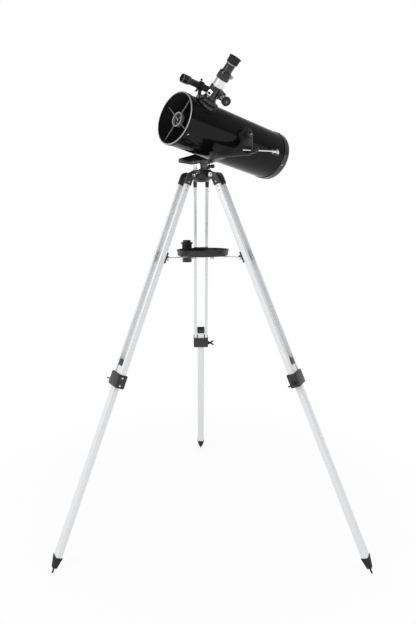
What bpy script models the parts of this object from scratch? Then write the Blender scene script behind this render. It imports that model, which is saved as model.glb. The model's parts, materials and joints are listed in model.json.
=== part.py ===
"""Newtonian reflector telescope in a fork mount with a slow-motion rod, on an aluminium field tripod.

Metres, +Z up. The origin lies on the ground below the middle of the object's outline.
The tube is at rest at a small elevation, with its open end towards -X and -Y.
"""

import math

import bmesh
import bpy

# Clearances
SEAT_GAP = 0.0003
SLIDE_GAP = 0.0004

# Stance of the tripod
FOOT_CIRCLE = 0.519
FOOTPRINT_SHIFT = 0.0026
SHOULDER_CIRCLE = 0.053
SHOULDER_HEIGHT = 1.143
LEG_DIRECTIONS = (210.0, 330.0, 90.0)

# Upper legs: two hollow rails a leg, with an end cap on each
RAIL_SPACING = 0.031
RAIL_WIDTH = 0.010
RAIL_DEPTH = 0.020
RAIL_WALL = 0.0015
RAIL_CORNER = 0.003
RAIL_BORE_WIDTH = 0.0045
GROOVE_WIDTH = 0.008
GROOVE_DEPTH = 0.002
RAIL_TOP = 0.040
CAP_OVERHANG = 0.001
CAP_SHOULDER = 0.020
CAP_PLUG = 0.015
EYE_RADIUS = 0.0095
EYE_INSET = 0.009
EYE_DROP = 0.0015

# Lower legs, clamps and feet
CLAMP_DISTANCE = 0.681
CLAMP_HEIGHT = 0.040
CLAMP_DEPTH = 0.030
CLAMP_WALL = 0.0025
CLAMP_SCREW_DROP = 0.009
SCREW_RADIUS = 0.003
WING_SPAN = 0.028
WING_REACH = 0.016
WING_THICKNESS = 0.0035
LOWER_WIDTH = 0.025
LOWER_DEPTH = 0.019
LOWER_WALL = 0.002
GUIDE_LENGTH = 0.040
FOOT_LENGTH = 0.045
FOOT_SOCKET = 0.012
FOOT_WALL = 0.002
FOOT_NOSE = 0.007
FOOT_PIN_LENGTH = 0.013
FOOT_PIN_RADIUS = 0.003

# Tray and its arms
BRACKET_DISTANCE = 0.2856
BRACKET_LENGTH = 0.036
BRACKET_PLATE = 0.003
TONGUE_REACH = 0.020
TONGUE_WIDTH = 0.016
TONGUE_THICKNESS = 0.004
TRAY_ARM_WIDTH = 0.012
TRAY_ARM_THICKNESS = 0.0025
TRAY_ARM_INNER = 0.030
TRAY_RADIUS = 0.087
TRAY_HEIGHT = 0.020
TRAY_FLOOR = 0.0025
TRAY_RIM = 0.0025
TRAY_HOLE_CIRCLE = 0.060
TRAY_HOLE_DIRECTIONS = (150.0, 270.0, 30.0)

# Hub, azimuth base and fork
HUB_RADIUS = 0.036
HUB_ABOVE_SHOULDER = 0.012
HUB_BELOW_SHOULDER = 0.026
BASE_RADIUS = 0.0285
BASE_HEIGHT = 0.0205
SPIGOT_RADIUS = 0.010
SPIGOT_LENGTH = 0.017
AZIMUTH_KNOB_DIRECTION = -20.0
AZIMUTH_KNOB_RADIUS = 0.0065
POINTING_DIRECTION = 37.5
TILT = 12.5
PIVOT_BEHIND_AXIS = 0.1123
PIVOT_DIP = 0.0042
CRADLE_THICKNESS = 0.010
CRADLE_WIDTH = 0.040
CRADLE_SIDE = 0.026
CRADLE_CORNER = 0.016
CRADLE_FLAT = 0.058
ARM_GAP = 0.0045
ARM_THICKNESS = 0.009
ARM_BOSS_RADIUS = 0.024
ARM_LOBE_RADIUS = 0.018
TRUNNION_RADIUS = 0.008
TRUNNION_PAD_RADIUS = 0.022
ALTITUDE_KNOB_RADIUS = 0.011
ALTITUDE_KNOB_LENGTH = 0.020

# Slow-motion rod: eyelet on the tube, swivel clamp on the near arm
ROD_RADIUS = 0.003
ROD_FREE_END = 0.044
ROD_STANDOFF = 0.013
ROD_EYE_BEHIND = 0.135
ROD_EYE_BELOW = 0.019
ROD_EYE_RADIUS = 0.0075
CLAMP_BEHIND = 0.010
CLAMP_BELOW = 0.051
SWIVEL_LENGTH = 0.018
SWIVEL_HEIGHT = 0.023
SWIVEL_WALL = 0.008
SLOT_PLAY = 0.0042
SWIVEL_STUD_RADIUS = 0.004
ROD_KNOB_RADIUS = 0.0085

# Main tube and optics
TUBE_RADIUS = 0.087
TUBE_WALL = 0.0015
TUBE_LENGTH = 0.458
RING_THICKNESS = 0.002
FRONT_RING_LENGTH = 0.014
FRONT_LIP = 0.003
FRONT_LIP_DEPTH = 0.005
REAR_CELL_LENGTH = 0.028
REAR_SPIGOT = 0.011
SPIDER_INSET = 0.011
SPIDER_DEPTH = 0.012
SPIDER_HUB_RADIUS = 0.0245
SPIDER_HUB_WALL = 0.004
VANE_THICKNESS = 0.0012
VANE_ANGLES = (40.0, 130.0, 220.0, 310.0)
SECONDARY_RADIUS = 0.0185
SECONDARY_THICKNESS = 0.005
PRIMARY_RADIUS = 0.065
PRIMARY_THICKNESS = 0.018
PRIMARY_SAG = 0.002

# Focuser
FOCUSER_FROM_FRONT = 0.078
FOCUSER_ANGLE = 40.0
SADDLE_RADIUS = 0.038
SADDLE_THICKNESS = 0.009
HOUSING_WALL = 0.003
HOUSING_HEIGHT = 0.062
DRAWTUBE_RADIUS = 0.018
DRAWTUBE_WALL = 0.0014
DRAWTUBE_LOW = 0.012
DRAWTUBE_HIGH = 0.096
PINION_HEIGHT = 0.041
GEAR_MODULE = 0.001
PINION_TEETH = 12
PINION_WIDTH = 0.007
RACK_WIDTH = 0.006
RACK_STANDOFF = 0.004
RACK_LOW = 0.014
RACK_TEETH = 18
SHAFT_RADIUS = 0.003
BLOCK_HALF_WIDTH = 0.015
BLOCK_HALF_HEIGHT = 0.013
BLOCK_WALL = 0.004
FOCUS_KNOB_RADIUS = 0.015
FOCUS_KNOB_LENGTH = 0.012
FOCUS_KNOB_INNER = 0.038
HOLDER_LOW = 0.088
HOLDER_HIGH = 0.113
HOLDER_WALL = 0.0035
BARREL_RADIUS = 0.01585
BARREL_DEPTH = 0.029
EYEPIECE_BODY_RADIUS = 0.0155
EYEPIECE_FLANGE = 0.0175
EYEPIECE_BODY_TOP = 0.144
EYEPIECE_TOP = 0.158
EYEPIECE_NECK_RADIUS = 0.0145
EYECUP_RADIUS = 0.019
EYECUP_FLARE = 0.0205
EYECUP_TOP = 0.167

# Finder
FINDER_RISE = 0.051
FINDER_FROM_FRONT = 0.005
FINDER_LENGTH = 0.150
FINDER_RADIUS = 0.011
FINDER_CELL_RADIUS = 0.0145
FINDER_CELL_LENGTH = 0.026
FINDER_RING_FROM_FRONT = 0.084
FINDER_RING_RADIUS = 0.0165
FINDER_RING_WALL = 0.003
FINDER_RING_WIDTH = 0.012
FINDER_FOOT_LENGTH = 0.040
FINDER_FOOT_WIDTH = 0.018
FINDER_FOOT_THICKNESS = 0.004

# Facets round a full turn
FINE = 36
MEDIUM = 18
SMALL = 12
BORE_OFFSET = 3

# Places worked out from the sizes above
AXIS_Y = FOOTPRINT_SHIFT - FOOT_CIRCLE / 4
LEG_TILT = math.atan2(FOOT_CIRCLE - SHOULDER_CIRCLE, SHOULDER_HEIGHT)
LEG_LENGTH = math.hypot(FOOT_CIRCLE - SHOULDER_CIRCLE, SHOULDER_HEIGHT)
HUB_TOP = SHOULDER_HEIGHT + HUB_ABOVE_SHOULDER
FORK_BOTTOM = HUB_TOP + BASE_HEIGHT + 4 * SEAT_GAP
PIVOT_HEIGHT = FORK_BOTTOM + CRADLE_THICKNESS + TUBE_RADIUS - PIVOT_DIP
ARM_INNER = TUBE_RADIUS + ARM_GAP
ARM_OUTER = ARM_INNER + ARM_THICKNESS
ROD_PLANE = ARM_OUTER + ROD_STANDOFF
TUBE_FRONT = -TUBE_LENGTH / 2
TUBE_REAR = TUBE_LENGTH / 2
TUBE_INNER = TUBE_RADIUS - TUBE_WALL
RING_RADIUS = TUBE_RADIUS + RING_THICKNESS
FOCUSER_X = TUBE_FRONT + FOCUSER_FROM_FRONT
PITCH_RADIUS = GEAR_MODULE * PINION_TEETH / 2
PINION_BEHIND = DRAWTUBE_RADIUS + RACK_STANDOFF + PITCH_RADIUS
HOUSING_RADIUS = DRAWTUBE_RADIUS + HOUSING_WALL
HOLDER_RADIUS = DRAWTUBE_RADIUS + HOLDER_WALL
TOOTH_PITCH = math.pi * GEAR_MODULE

# Directions of a turned piece's axis in its frame
ALONG_X = (0.0, math.radians(90), 0.0)
TO_NEAR = (math.radians(90), 0.0, 0.0)
TO_FAR = (math.radians(-90), 0.0, 0.0)


for old in list(bpy.data.objects):
    bpy.data.objects.remove(old, do_unlink=True)


def new_collection(name):
    collection = bpy.data.collections.new(name)
    bpy.context.scene.collection.children.link(collection)
    return collection


PARTS = new_collection("newtonian_telescope")
GUIDES = new_collection("cutters_and_joined_shapes")


def finish(name, colour, roughness, metallic=0.0):
    made = bpy.data.materials.new(name)
    made.use_nodes = True
    shader = made.node_tree.nodes["Principled BSDF"]
    shader.inputs["Base Color"].default_value = (*colour, 1.0)
    shader.inputs["Roughness"].default_value = roughness
    shader.inputs["Metallic"].default_value = metallic
    return made


GLOSS_BLACK = finish("gloss_black_paint", (0.010, 0.010, 0.011), 0.12)
SATIN_BLACK = finish("satin_black_casting", (0.014, 0.014, 0.014), 0.38)
BLACK_PLASTIC = finish("black_plastic", (0.018, 0.018, 0.018), 0.45)
BLACK_RUBBER = finish("black_rubber", (0.016, 0.016, 0.016), 0.80)
SILVER_PAINT = finish("silver_paint", (0.45, 0.45, 0.46), 0.35, 0.6)
CHROME = finish("chrome", (0.80, 0.80, 0.81), 0.08, 1.0)
STEEL = finish("brushed_steel", (0.55, 0.55, 0.56), 0.30, 1.0)
ALUMINIUM = finish("anodised_aluminium", (0.82, 0.83, 0.84), 0.35, 0.8)
MIRROR = finish("mirror_coating", (0.92, 0.92, 0.93), 0.02, 1.0)


def frame(name, parent=None, location=(0.0, 0.0, 0.0), rotation=(0.0, 0.0, 0.0)):
    """An empty that other pieces are placed in."""
    made = bpy.data.objects.new(name, None)
    made.empty_display_size = 0.02
    made.parent = parent
    made.location = location
    made.rotation_euler = rotation
    PARTS.objects.link(made)
    return made


def piece(name, mesh, look, parent, location=(0.0, 0.0, 0.0), rotation=(0.0, 0.0, 0.0)):
    mesh.name = name
    mesh.shade_smooth()
    mesh.set_sharp_from_angle(angle=math.radians(35))
    made = bpy.data.objects.new(name, mesh)
    made.data.materials.append(look)
    made.parent = parent
    made.location = location
    made.rotation_euler = rotation
    PARTS.objects.link(made)
    return made


def combine(target, tool, operation):
    """Cuts, joins or intersects a piece with a second shape, which is kept as a guide."""
    step = target.modifiers.new(tool.name, "BOOLEAN")
    step.operation = operation
    step.object = tool
    PARTS.objects.unlink(tool)
    GUIDES.objects.link(tool)
    tool.hide_render = True
    tool.display_type = "WIRE"


def cut(target, *tools):
    for tool in tools:
        combine(target, tool, "DIFFERENCE")


def join(target, *tools):
    for tool in tools:
        combine(target, tool, "UNION")


def soften(target, width, segments=1):
    step = target.modifiers.new("rounded_edges", "BEVEL")
    step.width = width
    step.segments = segments
    step.limit_method = "ANGLE"
    step.angle_limit = math.radians(40)


def arc(centre, radius, start, end, steps):
    """Points on an arc, ends included. Angles are in degrees."""
    points = []
    for i in range(steps + 1):
        angle = math.radians(start + (end - start) * i / steps)
        points.append((centre[0] + radius * math.cos(angle), centre[1] + radius * math.sin(angle)))
    return points


def rounded_rectangle(width, height, corner, steps=2):
    x = width / 2 - corner
    y = height / 2 - corner
    points = arc((x, y), corner, 0, 90, steps)
    points += arc((-x, y), corner, 90, 180, steps)
    points += arc((-x, -y), corner, 180, 270, steps)
    points += arc((x, -y), corner, 270, 360, steps)
    return points


def extruded(outlines, thickness):
    """A closed mesh: flat outlines in XY, the first one outside, given a thickness along Z."""
    curve = bpy.data.curves.new("outline", "CURVE")
    curve.dimensions = "2D"
    curve.fill_mode = "BOTH"
    curve.extrude = thickness / 2
    for points in outlines:
        spline = curve.splines.new("POLY")
        spline.points.add(len(points) - 1)
        for place, (x, y) in zip(spline.points, points):
            place.co = (x, y, 0.0, 1.0)
        spline.use_cyclic_u = True
    drawn = bpy.data.objects.new("outline", curve)
    GUIDES.objects.link(drawn)
    mesh = bpy.data.meshes.new_from_object(drawn.evaluated_get(bpy.context.evaluated_depsgraph_get()))
    bpy.data.objects.remove(drawn, do_unlink=True)
    shape = bmesh.new()
    shape.from_mesh(mesh)
    bmesh.ops.remove_doubles(shape, verts=shape.verts, dist=1e-6)
    if len(outlines) == 1:
        bmesh.ops.dissolve_limit(shape, angle_limit=math.radians(1), verts=shape.verts, edges=shape.edges)
    bmesh.ops.recalc_face_normals(shape, faces=shape.faces)
    shape.to_mesh(mesh)
    shape.free()
    return mesh


def block(low, high):
    """A box mesh between two corners."""
    shape = bmesh.new()
    bmesh.ops.create_cube(shape, size=1.0)
    for vertex in shape.verts:
        for i in range(3):
            vertex.co[i] = (low[i] + high[i]) / 2 + vertex.co[i] * (high[i] - low[i])
    mesh = bpy.data.meshes.new("block")
    shape.to_mesh(mesh)
    shape.free()
    return mesh


def turned(name, profile, look, parent, location=(0.0, 0.0, 0.0), rotation=(0.0, 0.0, 0.0), steps=MEDIUM):
    """A piece turned round its own Z. The profile holds radius and height, and runs down the outer side.

    A profile that starts and ends on the axis is a solid, and any other is closed into a ring.
    """
    mesh = bpy.data.meshes.new(name)
    edges = [(i, i + 1) for i in range(len(profile) - 1)]
    if profile[0][0] > 0:
        edges.append((len(profile) - 1, 0))
    mesh.from_pydata([(r, 0.0, z) for r, z in profile], edges, [])
    made = bpy.data.objects.new(name, mesh)
    made.data.materials.append(look)
    made.parent = parent
    made.location = location
    made.rotation_euler = rotation
    PARTS.objects.link(made)
    screw = made.modifiers.new("turned", "SCREW")
    screw.axis = "Z"
    screw.steps = steps
    screw.render_steps = steps
    screw.use_merge_vertices = True
    screw.merge_threshold = 1e-5
    screw.use_smooth_shade = True
    return made


def rod(
    name, radius, low, high, look, parent, location=(0.0, 0.0, 0.0), rotation=(0.0, 0.0, 0.0), steps=SMALL
):
    """A plain cylinder along its own Z."""
    profile = [(0.0, high), (radius, high), (radius, low), (0.0, low)]
    return turned(name, profile, look, parent, location, rotation, steps)


def ring(
    name, outer, inner, low, high, look, parent, location=(0.0, 0.0, 0.0), rotation=(0.0, 0.0, 0.0),
    steps=MEDIUM
):
    profile = [(outer, high), (outer, low), (inner, low), (inner, high)]
    return turned(name, profile, look, parent, location, rotation, steps)


def tube_surface_cutter(name, parent, clearance, location=(0.0, 0.0, 0.0)):
    """The main tube's outer cylinder, a little larger, for what is seated on it."""
    reach = TUBE_LENGTH / 3
    return rod(name, TUBE_RADIUS + clearance, -reach, reach, GLOSS_BLACK, parent, location, ALONG_X, FINE)


# Tripod legs


def rail_outline(side):
    inner = side * RAIL_SPACING / 2
    groove = inner + side * GROOVE_DEPTH
    outer = inner + side * RAIL_WIDTH
    x = RAIL_DEPTH / 2
    corner_y = outer - side * RAIL_CORNER
    points = [(-x, inner), (-GROOVE_WIDTH / 2, inner), (-GROOVE_WIDTH / 2, groove)]
    points += [(GROOVE_WIDTH / 2, groove), (GROOVE_WIDTH / 2, inner), (x, inner)]
    points += arc((x - RAIL_CORNER, corner_y), RAIL_CORNER, 0, side * 90, 2)
    points += arc((-x + RAIL_CORNER, corner_y), RAIL_CORNER, side * 90, side * 180, 2)
    return points


def rail_bore_middle(side):
    return side * (RAIL_SPACING / 2 + RAIL_WIDTH - RAIL_WALL - RAIL_BORE_WIDTH / 2)


def rail_bore(side, clearance):
    depth = RAIL_DEPTH / 2 - RAIL_WALL - clearance
    half = RAIL_BORE_WIDTH / 2 - clearance
    y = rail_bore_middle(side)
    return [(-depth, y - half), (depth, y - half), (depth, y + half), (-depth, y + half)]


def clamp_bottom_of_rails():
    return -CLAMP_DISTANCE


def build_rail(name, side, leg):
    top = -RAIL_TOP
    bottom = clamp_bottom_of_rails()
    mesh = extruded([rail_outline(side), rail_bore(side, 0.0)], top - bottom)
    piece(name, mesh, ALUMINIUM, leg, location=(0.0, 0.0, (top + bottom) / 2))


def cap_outline():
    """Side view of an end cap: a hook that bends over from the rail to the hub's lug."""
    inner = -RAIL_DEPTH / 2 - CAP_OVERHANG
    outer = RAIL_DEPTH / 2 + CAP_OVERHANG
    bottom = -RAIL_TOP + SEAT_GAP
    eye = (-EYE_INSET, -EYE_DROP)
    elbow = eye[1] + EYE_RADIUS - CAP_SHOULDER
    points = [(inner, bottom), (outer, bottom)]
    points += arc((outer - CAP_SHOULDER, elbow), CAP_SHOULDER, 0, 90, 5)
    points += arc(eye, EYE_RADIUS, 100, 250, 6)
    points.append((inner, eye[1] - 1.9 * EYE_RADIUS))
    return points


def build_cap(name, side, leg):
    width = RAIL_WIDTH + 2 * CAP_OVERHANG
    middle = side * (RAIL_SPACING + RAIL_WIDTH) / 2
    cap = piece(name, extruded([cap_outline()], width), BLACK_PLASTIC, leg, (0.0, middle, 0.0), TO_NEAR)
    plug_top = -RAIL_TOP + CAP_PLUG / 3
    plug_bottom = -RAIL_TOP - CAP_PLUG
    plug = piece(
        name + "_plug",
        extruded([rail_bore(side, SEAT_GAP)], plug_top - plug_bottom),
        BLACK_PLASTIC,
        leg,
        location=(0.0, 0.0, (plug_top + plug_bottom) / 2),
    )
    join(cap, plug)


def build_clamp(name, leg):
    width = RAIL_SPACING + 2 * RAIL_WIDTH + 2 * CLAMP_WALL
    top = -CLAMP_DISTANCE + CLAMP_HEIGHT / 2
    bottom = top - CLAMP_HEIGHT
    half = (CLAMP_DEPTH / 2, width / 2)
    clamp = piece(name, block((-half[0], -half[1], bottom), (half[0], half[1], top)), BLACK_PLASTIC, leg)
    soften(clamp, 0.003, 2)
    window = rounded_rectangle(LOWER_DEPTH + 2 * SLIDE_GAP, LOWER_WIDTH + 2 * SLIDE_GAP, 0.002)
    middle = (0.0, 0.0, -CLAMP_DISTANCE)
    cut(clamp, piece(name + "_window", extruded([window], 2 * CLAMP_HEIGHT), BLACK_PLASTIC, leg, middle))
    pocket_x = RAIL_DEPTH / 2 + SEAT_GAP
    for side in (-1, 1):
        edges = sorted(
            (side * (RAIL_SPACING / 2 - SEAT_GAP), side * (RAIL_SPACING / 2 + RAIL_WIDTH + SEAT_GAP))
        )
        low = (-pocket_x, edges[0], clamp_bottom_of_rails() - SEAT_GAP)
        high = (pocket_x, edges[1], top + CLAMP_HEIGHT)
        cut(clamp, piece(f"{name}_pocket_{side}", block(low, high), BLACK_PLASTIC, leg))
    hole = rod(
        name + "_screw_hole",
        SCREW_RADIUS + SLIDE_GAP,
        LOWER_WIDTH / 4,
        width,
        BLACK_PLASTIC,
        leg,
        (0.0, 0.0, -CLAMP_DISTANCE - CLAMP_SCREW_DROP),
        TO_NEAR,
        SMALL,
    )
    cut(clamp, hole)


def build_clamp_screw(name, leg):
    """Wing screw in the clamp's clockwise side, bearing on the lower leg below the rails' ends."""
    seat = RAIL_SPACING / 2 + RAIL_WIDTH + CLAMP_WALL + SEAT_GAP
    tip = LOWER_WIDTH / 2 + 2 * SLIDE_GAP
    collar = 2 * SCREW_RADIUS
    neck = seat + collar
    place = (0.0, 0.0, -CLAMP_DISTANCE - CLAMP_SCREW_DROP)
    profile = [
        (0.0, neck), (collar, neck), (collar, seat), (SCREW_RADIUS, seat), (SCREW_RADIUS, tip), (0.0, tip)
    ]
    screw = turned(name, profile, BLACK_PLASTIC, leg, place, TO_NEAR, SMALL)
    lobe = WING_REACH / 2
    x = WING_SPAN / 2 - lobe
    wing = arc((x, neck + lobe), lobe, -90, 90, 5) + [(collar / 2, neck + lobe)]
    wing += [(-collar / 2, neck + lobe)] + arc((-x, neck + lobe), lobe, 90, 270, 5)
    wing += [(-collar / 2, neck - collar / 2), (collar / 2, neck - collar / 2)]
    plate = piece(name + "_wings", extruded([wing], WING_THICKNESS), BLACK_PLASTIC, screw)
    plate.rotation_euler = (math.radians(90), 0.0, 0.0)
    join(screw, plate)


def build_lower_leg(name, leg):
    clamp_top = -CLAMP_DISTANCE + CLAMP_HEIGHT / 2
    bottom = -LEG_LENGTH + FOOT_LENGTH - FOOT_SOCKET + SEAT_GAP
    top = clamp_top + GUIDE_LENGTH - LOWER_WALL
    outer = rounded_rectangle(LOWER_DEPTH, LOWER_WIDTH, 0.0025)
    inner = rounded_rectangle(LOWER_DEPTH - 2 * LOWER_WALL, LOWER_WIDTH - 2 * LOWER_WALL, 0.001, 1)
    mesh = extruded([outer, inner], top - bottom)
    lower = piece(name, mesh, ALUMINIUM, leg, location=(0.0, 0.0, (top + bottom) / 2))
    x = RAIL_DEPTH / 2 - SLIDE_GAP
    y = RAIL_SPACING / 2 - SLIDE_GAP
    low = (-x, -y, clamp_top + SEAT_GAP)
    high = (x, y, clamp_top + GUIDE_LENGTH)
    join(lower, piece(name + "_guide", block(low, high), BLACK_PLASTIC, leg))


def build_foot(name, leg):
    top = -LEG_LENGTH + FOOT_LENGTH
    nose = -LEG_LENGTH + FOOT_PIN_LENGTH
    wide_x = LOWER_DEPTH / 2 + FOOT_WALL
    wide_y = LOWER_WIDTH / 2 + FOOT_WALL
    mesh = block((-wide_x, -wide_y, nose), (wide_x, wide_y, top))
    for vertex in mesh.vertices:
        if vertex.co.z < (top + nose) / 2:
            vertex.co.x *= FOOT_NOSE / wide_x
            vertex.co.y *= FOOT_NOSE / wide_y
    foot = piece(name, mesh, BLACK_PLASTIC, leg)
    soften(foot, 0.002, 2)
    pin_low = -LEG_LENGTH - 2 * FOOT_PIN_RADIUS
    join(
        foot, rod(name + "_pin", FOOT_PIN_RADIUS, pin_low, nose + FOOT_PIN_LENGTH / 2, BLACK_PLASTIC, leg)
    )
    socket = rounded_rectangle(LOWER_DEPTH + 2 * SEAT_GAP, LOWER_WIDTH + 2 * SEAT_GAP, 0.002)
    middle = (0.0, 0.0, top)
    cut(foot, piece(name + "_socket", extruded([socket], 2 * FOOT_SOCKET), BLACK_PLASTIC, leg, middle))
    reach = 2 * FOOT_CIRCLE
    ground = piece(
        name + "_ground", block((-reach, -reach, -0.1), (reach, reach, 0.0)), BLACK_PLASTIC, None
    )
    cut(foot, ground)


def bracket_seat():
    """Distance from the tripod's axis, and height, of the middle of the bracket's inner face."""
    inward = RAIL_DEPTH / 2 + SEAT_GAP + BRACKET_PLATE
    radius = SHOULDER_CIRCLE + BRACKET_DISTANCE * math.sin(LEG_TILT) - inward * math.cos(LEG_TILT)
    height = SHOULDER_HEIGHT - BRACKET_DISTANCE * math.cos(LEG_TILT) - inward * math.sin(LEG_TILT)
    return radius, height


def build_bracket(name, leg, spoke):
    y = RAIL_SPACING / 2 + RAIL_WIDTH
    x = RAIL_DEPTH / 2 + SEAT_GAP
    low = (-x - BRACKET_PLATE, -y, -BRACKET_DISTANCE - BRACKET_LENGTH / 2)
    high = (-x, y, -BRACKET_DISTANCE + BRACKET_LENGTH / 2)
    bracket = piece(name, block(low, high), SATIN_BLACK, leg)
    radius, height = bracket_seat()
    reach = TONGUE_WIDTH / 2
    inner = radius - TONGUE_REACH
    tongue = [(radius + BRACKET_PLATE / 2, reach)] + arc((inner + reach, 0.0), reach, 90, 270, 6)
    tongue.append((radius + BRACKET_PLATE / 2, -reach))
    mesh = extruded([tongue], TONGUE_THICKNESS)
    join(
        bracket,
        piece(name + "_tongue", mesh, SATIN_BLACK, spoke, (0.0, 0.0, height + TONGUE_THICKNESS / 2))
    )


def tray_arm_top():
    return bracket_seat()[1] - SEAT_GAP


def build_tray_arm(name, spoke):
    half = TRAY_ARM_WIDTH / 2
    outer = bracket_seat()[0] - half - 2 * SEAT_GAP - TRAY_ARM_THICKNESS
    strap = arc((outer, 0.0), half, -90, 90, 5) + arc((TRAY_ARM_INNER, 0.0), half, 90, 270, 5)
    middle = (0.0, 0.0, tray_arm_top() - TRAY_ARM_THICKNESS / 2)
    piece(name, extruded([strap], TRAY_ARM_THICKNESS), STEEL, spoke, middle)


def build_leg(number, direction, tripod):
    turn = math.radians(direction)
    spoke = frame(f"leg_{number}_spoke", tripod, rotation=(0.0, 0.0, turn))
    shoulder = (SHOULDER_CIRCLE, 0.0, SHOULDER_HEIGHT)
    leg = frame(f"leg_{number}_frame", spoke, shoulder, (0.0, -LEG_TILT, 0.0))
    for label, side in (("left", 1), ("right", -1)):
        build_rail(f"leg_{number}_rail_{label}", side, leg)
        build_cap(f"leg_{number}_cap_{label}", side, leg)
    build_clamp(f"leg_{number}_clamp", leg)
    build_clamp_screw(f"leg_{number}_clamp_screw", leg)
    build_lower_leg(f"leg_{number}_lower", leg)
    build_foot(f"leg_{number}_foot", leg)
    build_bracket(f"leg_{number}_bracket", leg, spoke)
    build_tray_arm(f"tray_arm_{number}", spoke)


# Tray and the spare eyepiece in it


def build_tray(tripod):
    bottom = tray_arm_top() + SEAT_GAP
    floor = bottom + TRAY_FLOOR
    top = bottom + TRAY_HEIGHT
    wall = TRAY_RADIUS - 2 * TRAY_RIM
    profile = [(0.0, floor), (wall - 0.004, floor), (wall - 0.001, floor + 0.003), (wall, top - TRAY_RIM)]
    profile += [(wall + 0.001, top), (TRAY_RADIUS - 0.001, top), (TRAY_RADIUS, top - TRAY_RIM)]
    profile += [
        (wall + TRAY_RIM, top - 2 * TRAY_RIM), (wall + 0.0015, bottom + 0.003), (wall - 0.002, bottom),
        (0.0, bottom)
    ]
    tray = turned("tray", profile, BLACK_PLASTIC, tripod, steps=FINE)
    for direction in TRAY_HOLE_DIRECTIONS:
        turn = math.radians(direction)
        place = (TRAY_HOLE_CIRCLE * math.cos(turn), TRAY_HOLE_CIRCLE * math.sin(turn), 0.0)
        name = f"tray_hole_{direction:.0f}"
        radius = BARREL_RADIUS + SLIDE_GAP
        cut(tray, rod(name, radius, bottom - 0.01, top, BLACK_PLASTIC, tripod, place, steps=MEDIUM))
    turn = math.radians(TRAY_HOLE_DIRECTIONS[0])
    place = (TRAY_HOLE_CIRCLE * math.cos(turn), TRAY_HOLE_CIRCLE * math.sin(turn), floor + SEAT_GAP)
    profile = [
        (0.0, 0.043), (0.008, 0.043), (0.010, 0.047), (0.013, 0.047), (0.014, 0.040), (0.0175, 0.040)
    ]
    profile += [(0.0205, 0.039), (0.0205, 0.036), (0.017, 0.034), (0.017, 0.0), (BARREL_RADIUS, 0.0)]
    profile += [(BARREL_RADIUS, -0.027), (0.0135, -0.027), (0.0135, -0.012), (0.0, -0.012)]
    turned("spare_eyepiece", profile, BLACK_PLASTIC, tripod, place)


# Hub and azimuth base


def eye_place():
    """Distance from the tripod's axis, and height, of the eye where a leg's caps hold the hub's lug."""
    radius = SHOULDER_CIRCLE - EYE_INSET * math.cos(LEG_TILT) + EYE_DROP * math.sin(LEG_TILT)
    height = SHOULDER_HEIGHT - EYE_INSET * math.sin(LEG_TILT) - EYE_DROP * math.cos(LEG_TILT)
    return radius, height


def build_hub(tripod):
    bottom = SHOULDER_HEIGHT - HUB_BELOW_SHOULDER
    profile = [(0.0, HUB_TOP), (HUB_RADIUS - 0.004, HUB_TOP), (HUB_RADIUS, HUB_TOP - 0.004)]
    profile += [(HUB_RADIUS, bottom + 0.006), (HUB_RADIUS - 0.006, bottom), (0.0, bottom)]
    hub = turned("hub", profile, SATIN_BLACK, tripod)
    radius, height = eye_place()
    lug_radius = EYE_RADIUS - 0.0005
    lug_width = RAIL_SPACING - 2 * CAP_OVERHANG - 2 * SEAT_GAP
    outline = [(HUB_RADIUS / 2, height - lug_radius)] + arc((radius, height), lug_radius, -90, 90, 6)
    outline.append((HUB_RADIUS / 2, height + lug_radius))
    for number in range(1, len(LEG_DIRECTIONS) + 1):
        spoke = bpy.data.objects[f"leg_{number}_spoke"]
        join(
            hub,
            piece(f"hub_lug_{number}", extruded([outline], lug_width), SATIN_BLACK, spoke, rotation=TO_NEAR)
        )


def build_azimuth_base(tripod):
    low = HUB_TOP + SEAT_GAP
    high = low + BASE_HEIGHT
    bore = SPIGOT_RADIUS + SLIDE_GAP
    profile = [(BASE_RADIUS - 0.001, high), (BASE_RADIUS, high - 0.001), (BASE_RADIUS, low + 0.004)]
    profile += [
        (BASE_RADIUS + 0.0025, low + 0.003), (BASE_RADIUS + 0.0025, low), (bore, low), (bore, high)
    ]
    base = turned("azimuth_base", profile, SATIN_BLACK, tripod)
    turn = math.radians(AZIMUTH_KNOB_DIRECTION)
    height = (low + high) / 2 + 0.002
    stud = 0.0025
    axis = frame("azimuth_knob_frame", tripod, (0.0, 0.0, height), (0.0, math.radians(90), turn))
    cut(
        base,
        rod("azimuth_knob_hole", stud + SLIDE_GAP, SPIGOT_RADIUS / 2, 2 * BASE_RADIUS, SATIN_BLACK, axis)
    )
    seat = BASE_RADIUS + SEAT_GAP
    head = AZIMUTH_KNOB_RADIUS
    profile = [
        (0.0, seat + 0.016), (head - 0.001, seat + 0.016), (head, seat + 0.015), (head, seat + 0.005)
    ]
    profile += [
        (0.0045, seat + 0.004), (0.0045, seat), (stud, seat), (stud, bore + 0.001), (0.0, bore + 0.001)
    ]
    turned("azimuth_knob", profile, BLACK_PLASTIC, axis, steps=SMALL)


# Fork


def cradle_outline():
    """End view of the cradle: a shallow trough whose sides turn up to the arms."""
    outer = ARM_OUTER - 2 * SEAT_GAP
    inner = ARM_INNER + 2 * SEAT_GAP
    points = arc((outer - CRADLE_CORNER, CRADLE_CORNER), CRADLE_CORNER, -90, 0, 4)
    points += [(outer, CRADLE_SIDE), (inner, CRADLE_SIDE), (CRADLE_FLAT, CRADLE_THICKNESS)]
    mirrored = [(-y, z) for y, z in reversed(points)]
    return points + mirrored


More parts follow.
